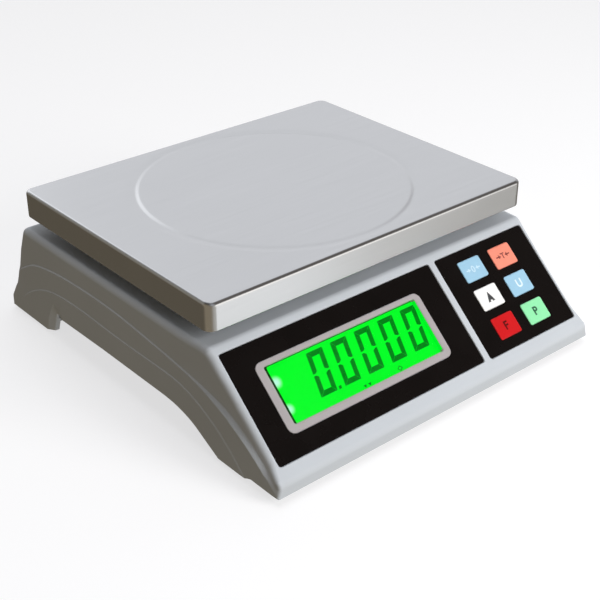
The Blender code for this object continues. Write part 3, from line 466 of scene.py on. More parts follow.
# ------------------------------------------------------------------ housing
def housing():
    front_z = PANEL_Z - (167.0 + PANEL_Y) * math.tan(SLOPE)
    crease_y = PANEL_Y + (81.0 - PANEL_Z) / math.tan(SLOPE)
    top = fillet([(-167.0, 5.3, 0, 0), (-167.0, front_z, 8.0, 9), (crease_y, 81.0, 6.0, 6), (140.5, 81.0, 6.0, 8), (157.0, 27.0, 14.0, 9), (167.0, 12.0, 6.0, 7), (167.0, 3.0, 0, 0)])
    low = [(108.5, 3.0), (103.0, 18.5), (101.2, 20.9), (98.3, 21.9), (95.0, 22.2), (31.0, 23.2), (-46.0, 23.0)] + \
        smooth_path([(-46.0, 23.0), (-60.0, 21.8), (-77.0, 17.5), (-93.0, 9.5), (-105.5, 3.0)], 4)[1:] + [(-133.0, 3.0), (-139.0, 5.3)]
    loop = resample(top + low, 6.0, True)
    # tidy: no two points closer than 0.25 mm
    tidy = [loop[0]]
    for p in loop[1:]:
        if math.dist(p, tidy[-1]) > 0.25:
            tidy.append(p)
    loop = tidy
    n = len(loop)
    area = sum(loop[i][0] * loop[(i + 1) % n][1] - loop[(i + 1) % n][0] * loop[i][1] for i in range(n))
    side = 1 if area > 0 else -1
    # rounding radius of each outline point: large along the top, small along the lower edge
    radius = []
    for y, z in loop:
        lower = z < 24.5 and -139.5 < y < 112 or (z < 5.4)
        radius.append(0.8 if lower else 1.4 if y > 150 and z < 26 else 2.2 if y > 141 and z < 70 else 2.4 if z < 20 else 4.8)
    radius = [sum(radius[(i + k) % n] for k in range(-1, 2)) / 3 for i in range(n)]
    K = 5
    rings = []
    for k in range(K + 1):
        phi = math.pi / 2 * k / K
        ring = []
        for i, p in enumerate(loop):
            a, b, c = Vector(loop[i - 1]), Vector(p), Vector(loop[(i + 1) % n])
            d0, d1 = (b - a).normalized(), (c - b).normalized()
            n0, n1 = Vector((-d0.y, d0.x)) * side, Vector((-d1.y, d1.x)) * side
            m = (n0 + n1).normalized()
            q = b + m * (radius[i] * (1 - math.cos(phi)) / max(m.dot(n0), 0.5))
            ring.append((q.x, q.y))
        rings.append(ring)
    inner = rings[-1]
    arc_1 = smooth_path([(168.0, 16.0), (160.0, 28.0), (151.0, 39.5), (137.0, 48.5), (121.0, 55.3), (90.0, 60.3), (61.0, 62.2), (34.0, 62.7), (8.0, 62.0), (-16.0, 60.0), (-40.0, 57.6), (-70.0, 54.0),
                         (-87.0, 50.4), (-103.0, 45.0), (-117.0, 39.2), (-131.0, 31.8), (-143.0, 24.2), (-153.0, 16.6), (-161.0, 10.2), (-169.0, 3.5)], 5)
    arc_2 = smooth_path([(160.0, 2.0), (150.0, 14.0), (140.0, 23.5), (129.0, 30.5), (112.0, 38.0), (89.5, 42.6), (61.0, 43.9), (34.0, 43.3), (8.0, 42.6), (-17.0, 42.6), (-41.0, 42.8), (-55.0, 42.6),
                         (-68.0, 41.0), (-84.0, 36.2), (-101.0, 27.8), (-113.0, 19.7), (-123.5, 11.0), (-131.0, 3.6), (-134.0, 0.5)], 5)
    crease = [(99.5, 33.0), (102.5, 28.0), (106.0, 22.0), (109.5, 15.8), (111.5, 7.0), (112.0, 0.0)]
    foot = [(98.6, 25.0), (100.4, 22.0), (103.0, 18.5), (108.5, 3.0), (109.5, 0.0)]

    def widths(y):
        w1 = 1.2 + 3.4 * step01(-y, 70, 150)
        w2 = 1.2 + 1.2 * step01(-y, 50, 125)
        return w1, w2

    def reach(pts):
        pts = np.asarray(pts, float).reshape(-1, 2)
        y, z = pts[:, 0], pts[:, 1]
        w1, w2 = widths(y)
        d1, s1 = distance_to(pts, arc_1)
        d2, s2 = distance_to(pts, arc_2)
        d1, d2 = d1 * s1, d2 * s2  # the arcs run from rear to front, so below is to the left
        x = np.full(len(pts), 153.5)
        x -= 2.2 * step01(-y, 60, 125) * step01(-d1, 0.0, 3.0) * (1 - 0.85 * step01(-y, 150, 164))
        x += 0.9 * step01(d1, -w1, 0.0)
        x += 0.8 * step01(d2, -w2, 0.0)
        x += 1.0 * step01(y, 138, 158) * step01(34.0 - z, 0.0, 12.0)
        x = np.minimum(x, 155.0)
        # the leg's front end turns inward
        dc, _ = distance_to(pts, crease)
        df, _ = distance_to(pts, foot)
        near = (z < 30) & (y > 95) & (y < 114)
        right_of = np.interp(z, [0.0, 7.0, 15.8, 22.0, 28.0, 33.0], [112.0, 111.5, 109.5, 106.0, 102.5, 99.5])
        t = np.where(near & (y < right_of), dc / np.maximum(dc + df, 1e-6), 0)
        x -= 3.6 * t
        return x

    loops = [(r, True) for r in rings]
    # ledge lines, kept clear of the rounded rim
    def clipped(line, offset_of):
        out, run = [], []
        line = np.asarray(line, float)
        d = np.gradient(line, axis=0)
        nrm = np.stack([-d[:, 1], d[:, 0]], 1) / np.hypot(d[:, 0], d[:, 1])[:, None]
        pts = line + nrm * np.array([offset_of(y) for y, _ in line])[:, None]
        ok = inside(pts, inner) & (distance_to(pts, inner, True)[0] > 0.35)
        for p, good in zip(pts, ok):
            if good:
                run.append(tuple(p))
            elif run:
                out.append(run)
                run = []
        if run:
            out.append(run)
        return [r for r in out if len(r) > 1]
    lines = []
    for frac in (-1.0, -0.8, -0.6, -0.4, -0.2, 0.0):
        lines += clipped(arc_1, lambda y, f=frac: f * widths(y)[0])
        if frac in (-1.0, -0.6, -0.4, 0.0, -0.2, -0.8):
            lines += clipped(arc_2, lambda y, f=frac: f * widths(y)[1])
    lines += clipped(crease[::-1], lambda y: 0.0)
    loops += [(l, False) for l in lines]
    grid = []
    for i, y in enumerate(np.arange(-164, 166, 6.0)):
        for z in np.arange(4.5, 80, 6.0):
            grid.append((y + (3.0 if int(z) % 2 else 0), z))
    grid = np.array(grid)
    ok = inside(grid, inner)
    for l, closed in [(inner, True)] + [(l, False) for l in lines]:
        ok &= distance_to(grid, l, closed)[0] > 1.8
    verts, faces = fill_flat(loops, [tuple(p) for p in grid[ok]], lambda a, b: True)
    centres = np.array([[sum(verts[i][0] for i in f) / 3, sum(verts[i][1] for i in f) / 3] for f in faces])
    good = inside(centres, loop)
    faces = [f for f, g in zip(faces, good) if g]
    arr = np.array(verts)
    X = reach(arr)
    # rounded rim: ring k lies R(1-sin) inside the face
    where = {}
    for k in range(K + 1):
        phi = math.pi / 2 * k / K
        for i, p in enumerate(rings[k]):
            where[(round(p[0], 4), round(p[1], 4))] = radius[i] * (1 - math.sin(phi))
    drop = np.array([where.get((round(p[0], 4), round(p[1], 4)), 0.0) for p in verts])
    X = X - drop
    bm = bmesh.new()
    L = [bm.verts.new((-x * MM, y * MM, z * MM)) for x, (y, z) in zip(X, verts)]
    R = [bm.verts.new((x * MM, y * MM, z * MM)) for x, (y, z) in zip(X, verts)]
    used = set()
    for f in faces:
        bm.faces.new([L[i] for i in f])
        bm.faces.new([R[i] for i in reversed(f)])
        used.update(f)
    index = {(round(p[0], 4), round(p[1], 4)): i for i, p in enumerate(verts)}
    ring0 = [index[(round(p[0], 4), round(p[1], 4))] for p in rings[0]]
    for i in range(n):
        a, b = ring0[i], ring0[(i + 1) % n]
        bm.faces.new((L[a], L[b], R[b], R[a]))
    bmesh.ops.delete(bm, geom=[v for v in bm.verts if not v.link_faces], context="VERTS")
    mesh = mesh_of(bm, "housing_shell")
    o = bpy.data.objects.new("housing_shell", mesh)
    SCENE.collection.objects.link(o)

    # the space inside, thinner at the console
    def inset(points, thickness):
        m, lines_, out = len(points), [], []
        ar = sum(points[i][0] * points[(i + 1) % m][1] - points[(i + 1) % m][0] * points[i][1] for i in range(m))
        sd = 1 if ar > 0 else -1
        for i in range(m):
            p, q = Vector(points[i]), Vector(points[(i + 1) % m])
            d = (q - p).normalized()
            lines_.append((p + Vector((-d.y, d.x)) * sd * thickness[i], d))
        for i in range(m):
            (p, d), (q, e) = lines_[i - 1], lines_[i]
            det = d.x * e.y - d.y * e.x
            t = ((q - p).x * e.y - (q - p).y * e.x) / det
            out.append((p.x + d.x * t, p.y + d.y * t))
        return out
    corners = [(-167.0, -20.0), (-167.0, front_z), (crease_y, 81.0), (140.5, 81.0), (157.0, 27.0), (167.0, 12.0), (167.0, -20.0)]
    hollow = inset(corners, [3.0, 4.5, 3.0, 3.0, 3.0, 3.0, 0.0])
    carve(o, [prism(hollow, "X", -147.5, 147.5, "hollow")])
    lip = ((-1.8, 0.0), (-0.7, 0.0), (-0.35, 0.12), (-0.1, 0.35), (0.0, 0.55), (0.3, 1.0), (9.0, 1.0))
    tools = [loft([panel_ring(-146.0, -1.2, 46.0, 81.1, 2.0, g, h) for h, g in lip], "display_recess"),
             loft([panel_ring(52.0, -1.2, 147.0, 81.8, 2.0, g, h) for h, g in lip], "keypad_recess")]
    edge = ((70.0, 0.0), (80.2, 0.0), (80.6, 0.12), (80.9, 0.35), (81.0, 0.5), (81.3, 0.9), (90.0, 0.9))
    tools += [loft([[(x, y, z) for x, y in rounded(25.0 - g, -4.0 - g, 75.0 + g, 44.0 + g, 6.0 + g, 6)] for z, g in edge], "column_opening"),
              turned([(0, 70.0)] + [(10.5 + g, z) for z, g in edge] + [(0, 90.0)], (0, -62), "level_opening", 40)]
    carve(o, tools)
    carve(o, [prism([(-124.0, 16.0), (21.0, 16.0), (21.0, 64.0), (-124.0, 64.0)], "P", -9.0, 3.0, "a"),
              prism([(65.0, 3.5), (131.8, 3.5), (131.8, 77.0), (65.0, 77.0)], "P", -9.0, 3.0, "b")])
    screws = [(-56.0, -152.0), (56.0, -152.0), (-137.0, -45.0), (137.0, -45.0), (-137.0, 92.0), (137.0, 92.0)]
    posts, holes = [], []
    for i, (x, y) in enumerate(screws):
        z0 = 12.3 if y < -100 else 27.3
        z1 = 21.8 if y < -100 else 79.5
        posts.append(rod((x, y), 4.5, z0, z1, "post", 20))
        holes.append(rod((x, y), 1.9, z0 - 2.3, z0 + (8.2 if y < -100 else 14.2), "hole", 16))
    carve(o, posts + [block((143.0, 24.0, 42.0), (150.0, 98.0, 65.0), "backing")], "UNION")
    carve(o, holes)
    well = ((147.5, 0.0), (150.0, 0.0), (150.6, 0.1), (151.6, 0.5), (160.0, 4.0))
    carve(o, [loft([[(x, y, z) for y, z in rounded(27.0 - g, 45.0 - g, 95.0 + g, 62.0 + g, 2.5 + g, 5)] for x, g in well], "switch_pocket")])
    carve(o, [block((140.0, 66.0, 47.0), (150.0, 85.0, 60.0), "switch_opening"), rod((0, 42.0, 53.5), 5.9, 140.0, 150.0, "socket_opening", 32, "X")])
    mesh = o.data
    bpy.data.objects.remove(o)
    return piece(mesh, "housing_shell", GREY, "upper_housing", angle=28)


housing()


# ------------------------------------------------------------------ weighing pan: folded sheet with a pressed ring
def pan():
    x1, y0, y1, top, fold, r = 150.0, -94.6, 137.4, 113.0, 2.8, 7.0
    K = 7

    def ring_at(back, drop, t=0.0):
        return [(x, y, top - drop) for x, y in rounded(-x1 + back + t, y0 + back + t, x1 - back - t, y1 - back - t, max(r - back - t, 0.3), 10)]

    outer = [ring_at(fold * (1 - math.sin(math.pi / 2 * k / K)), fold * (1 - math.cos(math.pi / 2 * k / K))) for k in range(K + 1)]
    outer += [ring_at(0.0, 7.0), ring_at(0.0, 14.0), ring_at(0.0, 20.3), ring_at(0.08, 20.75), ring_at(0.3, 21.0)]
    fi = fold - 1.0
    inner = [ring_at(0.0, 21.0, 0.7), ring_at(0.0, 20.75, 0.92), ring_at(0.0, 20.3, 1.0), ring_at(0.0, 14.0, 1.0), ring_at(0.0, 7.0, 1.0)]
    inner += [ring_at(fi * (1 - math.sin(math.pi / 2 * k / K)), 1.0 + fi * (1 - math.cos(math.pi / 2 * k / K)), 1.0) for k in range(K, -1, -1)]
    bm = bmesh.new()
    loops = [[bm.verts.new(Vector(p) * MM) for p in ring] for ring in outer + inner]
    for a, b in zip(loops, loops[1:]):
        for i in range(len(a)):
            j = (i + 1) % len(a)
            bm.faces.new((a[i], b[i], b[j], a[j]))
    # flat face with the pressed ring, above and below
    radii = [100.6, 101.6, 102.3, 103.0, 103.7, 104.4, 105.1, 105.8, 106.4, 107.6, 109.0, 110.6, 112.0]

    def dip(rad):
        return 0.76 * step01(rad, 101.6, 106.2) * min(1.0, (112.0 - rad) / 5.8)
    for src, level, flip in ((loops[0], 0.0, 1), (loops[-1], 1.0, -1)):
        edge = [(v.co.x / MM, v.co.y / MM) for v in src]
        lines = [(edge, True)] + [([(q * math.cos(2 * math.pi * i / 120), 21.4 + q * math.sin(2 * math.pi * i / 120)) for i in range(120)], True) for q in radii]
        free = []
        for x in np.arange(-138, 139, 12.0):
            for y in np.arange(-86, 127, 12.0):
                rad = math.hypot(x, y - 21.4)
                if (rad < 94 or rad > 114) and abs(x) < 140:
                    free.append((x, y))
        verts, faces = fill_flat(lines, free, lambda a, b: True)
        made = {}
        known = {(round(x, 4), round(y, 4)): v for (x, y), v in zip(edge, src)}
        for i, (x, y) in enumerate(verts):
            v = known.get((round(x, 4), round(y, 4)))
            rad = math.hypot(x, y - 21.4)
            made[i] = v or bm.verts.new(Vector((x, y, top - level - (dip(rad) if 101 < rad < 112 else 0.0))) * MM)
        for f in faces:
            bm.faces.new([made[i] for i in f])
    bmesh.ops.delete(bm, geom=[v for v in bm.verts if not v.link_faces], context="VERTS")
    return piece(mesh_of(bm, "pan_sheet"), "pan_sheet", STEEL, "weighing_pan", angle=40)


pan()

# ------------------------------------------------------------------ console: films, window frame, window, lit cell
def plate(x0, v0, x1, v1, r, n0, n1, soft, k=6):
    """A flat rounded plate on the console from height n0 up to n1, its upper edge rounded by soft."""
    rings = [panel_ring(x0, v0, x1, v1, r, 0.0, n0, k), panel_ring(x0, v0, x1, v1, r, 0.0, n1 - soft, k)]
    for a in (0.35, 0.7, 1.0):
        t = a * math.pi / 2
        rings.append(panel_ring(x0, v0, x1, v1, r, -soft * (1 - math.cos(t)), n1 - soft + soft * math.sin(t), k))
    return rings


refined("display_overlay", "display_film", FILM, 0.14, 2)
frame_rings = [panel_ring(-126.7, 14.2, 23.8, 66.1, 5.3, 0.0, -1.5), panel_ring(-126.7, 14.2, 23.8, 66.1, 5.3, 0.0, -0.75)]
frame_rings += [panel_ring(-126.7, 14.2, 23.8, 66.1, 5.3, -0.35 * (1 - math.cos(a)), -0.75 + 0.35 * math.sin(a)) for a in (0.5, 1.0, math.pi / 2)]
frame_rings += [panel_ring(-120.0, 18.0, 18.0, 60.5, 1.5, 1.2, -0.4), panel_ring(-120.0, 18.0, 18.0, 60.5, 1.5, 0.5, -0.5), panel_ring(-120.0, 18.0, 18.0, 60.5, 1.5, 0.0, -1.0),
                panel_ring(-120.0, 18.0, 18.0, 60.5, 1.5, 0.0, -4.4)]
frame_rings += [panel_ring(-123.7, 16.3, 20.7, 63.7, 3.0, 0.0, -4.4), panel_ring(-123.7, 16.3, 20.7, 63.7, 3.0, 0.0, -1.5)]
piece(loft(frame_rings, "window_frame_ring", ends=False), "window_frame_ring", FRAME, "display_bezel")
piece(loft(plate(-119.7, 18.3, 17.7, 60.2, 1.4, -2.6, -1.1, 0.25, 4), "window_pane"), "window_pane", GLASS, "display_window")
hot = [((on_panel(-114.6, 30.2, -4.8) * MM), 6.0, 0.85), ((on_panel(-115.6, 49.9, -4.8) * MM), 5.4, 0.8)]
LCD = lcd_material("lcd_cell", (0.0, 1.0, 0.018), 0.99, hot)
LIGHT = finish("light_guide", (0.3, 0.8, 0.35), 0.3, spot=0.03, scale=60, emit=(0.05, 0.9, 0.12), glow=0.6)
refined("lcd_glass", "lcd_cell_plate", LCD, 0.2, 2)
# dark green ring round the lit cell's left and top border: painted shadow where the frame keeps the backlight off the
# cell
PAINTED_SHADE = finish("display_painted_shade", (0.004, 0.05, 0.006), 0.6, spot=0.1, scale=200, spec=0.1)
shade_rings = [panel_ring(-120.6, 17.0, 19.0, 62.0, 1.5, 0.0, -4.8), panel_ring(-120.6, 17.0, 19.0, 62.0, 1.5, 0.0, -4.6), panel_ring(-116.2, 18.4, 18.6, 60.4, 1.5, 0.0, -4.6), panel_ring(-116.2, 18.4, 18.6, 60.4, 1.5, 0.0, -4.8)]
piece(loft(shade_rings + shade_rings[:1], "display_painted_shade", ends=False), "display_painted_shade", PAINTED_SHADE, body="housing")
# thin strip on the frame's right inner wall that glows green: painted light standing for the backlight falling on that
# wall
PAINTED_GLOW = finish("painted_glow_strip", (0.0, 0.05, 0.003), 0.4, spot=0.05, scale=100, emit=(0.0, 0.85, 0.02), glow=1.0, spec=0.1)
piece(loft(plate(17.72, 19.5, 17.97, 59.0, 0.1, -4.55, -0.75, 0.05, 3), "display_painted_glow_strip"), "display_painted_glow_strip", PAINTED_GLOW, body="housing")
refined("lcd_backlight", "light_guide_plate", LIGHT, 0.3, 2)
INK = finish("lcd_segment", (0.0, 0.012, 0.001), 0.3, spot=0.05, scale=200, emit=(0.0, 0.20, 0.007), glow=1.0, spec=0.1)


def flat_shape(polys, n0, n1, name):
    """Closed flat outlines on the console, each made n1-n0 thick, as one mesh."""
    bm = bmesh.new()
    for poly in polys:
        lo = [bm.verts.new(on_panel(x, v, n0) * MM) for x, v in poly]
        hi = [bm.verts.new(on_panel(x, v, n1) * MM) for x, v in poly]
        bm.faces.new(lo)
        bm.faces.new(hi)
        for i in range(len(poly)):
            j = (i + 1) % len(poly)
            bm.faces.new((lo[i], lo[j], hi[j], hi[i]))
    bmesh.ops.recalc_face_normals(bm, faces=bm.faces)
    mesh = bpy.data.meshes.new(name)
    bm.to_mesh(mesh)
    bm.free()
    return mesh


def zero(x0, v_low):
    """A seven-segment zero, its lower left corner at x0, v_low: six mitred bars, leaning a little."""
    W, H, T, g, h = 14.1, 31.1, 3.7, 0.14, 15.5
    bars = [
        [(g, H), (W - g, H), (W - T - g * 0.4, H - T), (T + g * 0.4, H - T)],
        [(T + g * 0.4, T), (W - T - g * 0.4, T), (W - g, 0), (g, 0)],
        [(0, H - g), (T, H - T - g), (T, h + 1.9), (T * 0.5, h + 0.7), (0, h + 0.7)],
        [(0, g), (T, T + g), (T, h - 1.9), (T * 0.5, h - 0.7), (0, h - 0.7)],
        [(W, H - g), (W - T, H - T - g), (W - T, h + 1.9), (W - T * 0.5, h + 0.7), (W, h + 0.7)],
        [(W, g), (W - T, T + g), (W - T, h - 1.9), (W - T * 0.5, h - 0.7), (W, h - 0.7)],
    ]
    return [[(x0 + u + 0.19 * w, v_low - w) for u, w in bar] for bar in bars]


polys = []
for x in (-89.3, -67.7, -45.8, -23.5, -1.4):
    polys += zero(x, 52.2)
polys.append([(-73.4, 52.4), (-71.2, 52.4), (-70.8, 50.2), (-73.0, 50.2)])
for x in (-53.6, -49.4):
    polys.append([(x - 1.3, 57.4), (x + 1.3, 57.4), (x, 59.4)])
cx, cv = -20.4, 57.7
polys += [[(cx, cv - 2.0), (cx + 2.2, cv), (cx + 1.5, cv), (cx, cv - 1.3)], [(cx + 2.2, cv), (cx, cv + 2.0), (cx, cv + 1.3), (cx + 1.5, cv)],
          [(cx, cv + 2.0), (cx - 2.2, cv), (cx - 1.5, cv), (cx, cv + 1.3)], [(cx - 2.2, cv), (cx, cv - 2.0), (cx, cv - 1.3), (cx - 1.5, cv)]]
piece(flat_shape(polys, -4.9, -4.72, "lcd_segments"), "lcd_segments", INK, body="housing", weighted=False)

# ------------------------------------------------------------------ keypad
refined("keypad_overlay", "keypad_film", FILM, 0.14, 2)
COL = {"l": (70.5, 93.2), "r": (103.6, 126.3)}
ROW = {1: (7.4, 24.6), 2: (31.5, 48.7), 3: (55.8, 73.0)}
KEYS = {
    "key_zero": ("l", 1, (0.36, 0.61, 0.80), "key_blue", (0.62, 0.80, 0.93)), "key_tare": ("r", 1, (0.96, 0.30, 0.21), "key_salmon", (0.25, 0.06, 0.05)),
    "key_up": ("l", 2, (0.95, 0.95, 0.95), "key_white", (0.06, 0.06, 0.065)), "key_units": ("r", 2, (0.36, 0.61, 0.80), "key_blue", (0.78, 0.90, 0.97)),
    "key_function": ("l", 3, (0.62, 0.007, 0.010), "key_red", (0.10, 0.0, 0.0)), "key_print": ("r", 3, (0.30, 0.84, 0.44), "key_green", (0.02, 0.10, 0.05)),
}
AT = 0.0  # height of the caps' tops is -0.25


def letters(text, size, x, v, n, name, thick=0.05, bold=0.0):
    c = bpy.data.curves.new(name, "FONT")
    c.body, c.size, c.align_x, c.align_y = text, size, "CENTER", "CENTER"
    c.extrude, c.offset, c.resolution_u = thick / 2, bold, 4
    tmp = bpy.data.objects.new(name, c)
    SCENE.collection.objects.link(tmp)
    bpy.context.view_layer.update()
    mesh = bpy.data.meshes.new_from_object(tmp.evaluated_get(bpy.context.evaluated_depsgraph_get()))
    bpy.data.objects.remove(tmp)
    co = [vv.co.copy() for vv in mesh.vertices]
    mx = (max(p.x for p in co) + min(p.x for p in co)) / 2
    my = (max(p.y for p in co) + min(p.y for p in co)) / 2
    for vv in mesh.vertices:
        vv.co = on_panel(x + vv.co.x - mx, v - (vv.co.y - my), n + vv.co.z) * MM
    bm = bmesh.new()
    bm.from_mesh(mesh)
    bmesh.ops.remove_doubles(bm, verts=bm.verts, dist=1e-7)
    bmesh.ops.recalc_face_normals(bm, faces=bm.faces)
    bm.to_mesh(mesh)
    bm.free()
    return mesh


def merged(meshes, name):
    bm = bmesh.new()
    for m in meshes:
        bm.from_mesh(m)
    out = bpy.data.meshes.new(name)
    bm.to_mesh(out)
    bm.free()
    return out


def arrow(x0, x1, v, half, n0, n1, name):
    """A flat arrow along x from x0 to its point at x1."""
    s = 1 if x1 > x0 else -1
    shaft = 0.5
    neck = x1 - s * 2.3
    return flat_shape([[(x0, v - shaft), (neck, v - shaft), (neck, v - half), (x1, v), (neck, v + half), (neck, v + shaft), (x0, v + shaft)]], n0, n1, name)


for name, (col, row, colour, slot, ink) in KEYS.items():
    (x0, x1), (v0, v1) = COL[col], ROW[row]
    mat = finish(name + "_cap_plastic", colour, 0.42, spot=0.03, scale=120, grain=0.008, grain_scale=2600, rough_var=0.04)
    top = [panel_ring(x0, v0, x1, v1, 1.4, g, h, 5) for g, h in ((-3.5, -0.22), (-1.2, -0.24), (-0.55, -0.28), (-0.25, -0.36), (-0.08, -0.5), (0.0, -0.75), (0.0, -1.9))]
    low = [panel_ring(x0, v0, x1, v1, 1.4, g, h, 5) for g, h in ((0.85, -1.9), (1.0, -2.05), (1.0, -3.45), (0.85, -3.6))]
    mx, mv = (x0 + x1) / 2, (v0 + v1) / 2
    stem = [panel_ring(mx - 2, mv - 2, mx + 2, mv + 2, 1.95, 0.0, h, 5) for h in (-3.6, -4.3)] + [panel_ring(mx - 2, mv - 2, mx + 2, mv + 2, 1.95, -0.2, -4.4, 5)]
    piece(loft(top + low + stem, name + "_cap"), name + "_cap", mat, name, angle=45)
    mark = finish(name + "_legend_ink", ink, 0.5, spot=0.03, scale=300)
    hi = -0.17
    if name == "key_zero":
        m = [letters("0", 7.4, mx, mv, hi - 0.03, "z", bold=0.12), arrow(mx - 7.2, mx - 2.7, mv, 1.7, hi - 0.06, hi - 0.005, "a"), arrow(mx + 7.2, mx + 2.7, mv, 1.7, hi - 0.06, hi - 0.005, "b")]
    elif name == "key_tare":
        m = [letters("T", 6.4, mx, mv, hi - 0.03, "z", bold=0.15), arrow(mx - 7.2, mx - 2.3, mv, 1.8, hi - 0.06, hi - 0.005, "a"), arrow(mx + 7.2, mx + 2.3, mv, 1.8, hi - 0.06, hi - 0.005, "b")]
    elif name == "key_up":
        m = [flat_shape([[(mx, mv - 4.4), (mx + 3.5, mv + 3.8), (mx + 0.9, mv + 3.8), (mx + 0.9, mv + 2.5), (mx - 0.9, mv + 2.5), (mx - 0.9, mv + 3.8), (mx - 3.5, mv + 3.8)]], hi - 0.06, hi - 0.005, "t")]
    else:
        m = [letters({"key_units": "U", "key_function": "F", "key_print": "P"}[name], 9.2, mx, mv, hi - 0.03, "z", bold=0.26)]
    piece(merged(m, name + "_legend"), name + "_legend", mark, body=BODY[name], weighted=False)
refined("keypad_board", "keypad_circuit", BOARD, 0.15, 1)
refined("main_board", "main_circuit", BOARD, 0.2, 1)
refined("keypad_ribbon", "keypad_flat_ribbon", RIBBON, 0.0, 1)

# ------------------------------------------------------------------ base tray, door, battery, strap
refined("base_tray", "base_moulding", BASE, 0.5, 2)
refined("battery_door", "battery_cover", BASE, 0.35, 2)
refined("battery", "battery_block", BATT, 0.3, 2)
refined("battery_strap", "battery_band", ZINC, 0.3, 2)

# ------------------------------------------------------------------ load cell group
refined("load_cell", "load_cell_beam", ALU, 0.3, 2)
refined("load_cell_plate", "load_cell_base_plate", ZINC, 0.5, 2)
refined("load_cell_spacer", "load_cell_packer", ALU, 0.4, 2)
refined("pan_mount_column", "pan_column", ALU, 0.3, 2)
refined("pan_spider", "pan_spider_casting", CAST, 0.7, 2)
for s in ("fl", "fr", "rl", "rr"):
    x, y = (-118 if s[1] == "l" else 118), (-68 if s[0] == "f" else 108)
    piece(turned([(0, 111.7), (7.4, 111.7), (8.2, 111.55), (8.8, 111.1), (9.1, 110.4), (9.4, 107.2), (9.55, 106.9), (9.4, 106.6), (9.6, 103.4), (9.75, 103.1), (9.6, 102.8), (9.95, 99.2), (9.9, 98.6), (9.6, 98.3), (0, 98.3)],
                 (x, y), "cushion", 48), f"pan_cushion_{s}_rubber", RUBBER, f"pan_cushion_{s}")
for nd in ("cell_screw_lower_1", "cell_screw_lower_2", "cell_screw_upper_1", "cell_screw_upper_2", "overload_stop_screw"):
    refined(nd, nd + "_bolt", ZINC, 0.3, 2)
for i in range(1, 7):
    refined(f"housing_screw_{i}", f"housing_screw_{i}_steel", ZINC, 0.15, 1)

# ------------------------------------------------------------------ levelling feet
def thread(lo, hi, r, depth, pitch):
    """Profile points of a plain ribbed thread from hi down to lo."""
    out, z = [], hi
    while z - pitch > lo:
        out += [(r - depth, z), (r, z - pitch * 0.35), (r, z - pitch * 0.65), (r - depth, z - pitch)]
        z -= pitch
    return out


def knurled(mesh, centre, r_min, z0, z1, count, depth):
    """Presses grip grooves into the rim of a turned wheel."""
    for v in mesh.vertices:
        x, y, z = v.co.x / MM - centre[0], v.co.y / MM - centre[1], v.co.z / MM
        rad = math.hypot(x, y)
        if rad > r_min and z0 < z < z1:
            a = math.atan2(y, x)
            k = 1 - depth / rad * (0.5 - 0.5 * math.cos(a * count))
            v.co.x, v.co.y = (centre[0] + x * k) * MM, (centre[1] + y * k) * MM


for s, (x, y) in {"fl": (-122.0, -130.0), "fr": (122.0, -130.0), "rl": (-122.0, 132.0), "rr": (122.0, 132.0)}.items():
    piece(turned([(0, 4.2), (10.2, 4.2), (10.9, 4.05), (11.4, 3.6), (11.7, 2.6), (12.0, 1.2), (11.95, 0.6), (11.6, 0.15), (11.2, 0.0), (7.5, 0.0), (7.0, 0.5), (4.0, 0.5), (3.6, 0.0), (0, 0.0)], (x, y), "pad", 48),
          f"foot_pad_{s}_rubber", RUBBER, f"foot_pad_{s}")
    body = [(0, 26.0), (3.1, 26.0), (3.6, 25.5)] + thread(9.0, 25.3, 4.0, 0.35, 1.25) + [(3.9, 8.4), (9.3, 8.4), (9.9, 8.2), (10.3, 7.8), (10.4, 7.2), (10.4, 5.7), (10.3, 5.1), (9.9, 4.7), (9.3, 4.5), (0, 4.5)]
    wheel = turned(body, (x, y), "wheel", 96)
    knurled(wheel, (x, y), 9.0, 4.9, 8.0, 24, 0.7)
    piece(wheel, f"foot_screw_{s}_steel", ZINC, f"foot_screw_{s}")

# ------------------------------------------------------------------ power switch and charging inlet
refined("power_switch_frame", "switch_frame", DARK, 0.35, 2)
refined("power_rocker", "switch_rocker", DARK, 0.25, 2)
piece(turned([(0, 137.0), (5.3, 137.0), (5.5, 137.2), (5.5, 147.8), (6.7, 147.8), (7.0, 148.1), (7.0, 149.3), (6.85, 149.65), (6.5, 149.8), (4.0, 149.8), (3.5, 149.6), (3.3, 149.1), (3.3, 139.0), (0, 139.0)],
             (0, 42.0, 53.5), "socket", 48, "X"), "charging_inlet", DARK, "dc_socket")
piece(turned([(0, 138.5), (1.05, 138.5), (1.05, 147.9), (0.9, 148.35), (0.5, 148.6), (0, 148.65)], (0, 42.0, 53.5), "pin", 24, "X"), "charging_inlet_pin", BRIGHT, body="housing")

# ------------------------------------------------------------------ bubble level
piece(turned([(0, 78.5), (6.45, 78.5), (6.5, 78.6), (6.5, 83.1), (6.7, 83.4), (12.6, 83.4), (12.9, 83.25), (13.0, 82.9), (13.0, 81.3), (10.1, 81.3), (10.1, 75.2), (9.9, 75.0), (0, 75.0)], (0, -62), "cup", 56),
      "level_cup", VIAL, "level_vial_cup")
piece(turned([(0, 84.6), (1.5, 84.55), (3.0, 84.38), (4.3, 84.08), (5.4, 83.6), (6.0, 83.1), (6.2, 82.7), (6.2, 78.8), (0, 78.8)], (0, -62), "lens", 56), "level_lens", LIQUID, "level_vial_lens")
for nd in ("load_cell_cable", "battery_lead", "power_lead", "socket_lead"):
    refined(nd, nd + "_wire", CABLE, 0.0)

# ------------------------------------------------------------------ floor and light
bm = bmesh.new()
bmesh.ops.create_grid(bm, x_segments=8, y_segments=8, size=6.0)
floor = bpy.data.objects.new("floor", mesh_of(bm, "floor"))
SCENE.collection.objects.link(floor)
floor.data.materials.append(finish("floor_paper", (0.40, 0.40, 0.40), 0.9, spot=0.004, scale=3, spec=0.05, emit=(0.66, 0.66, 0.67), glow=1.0))
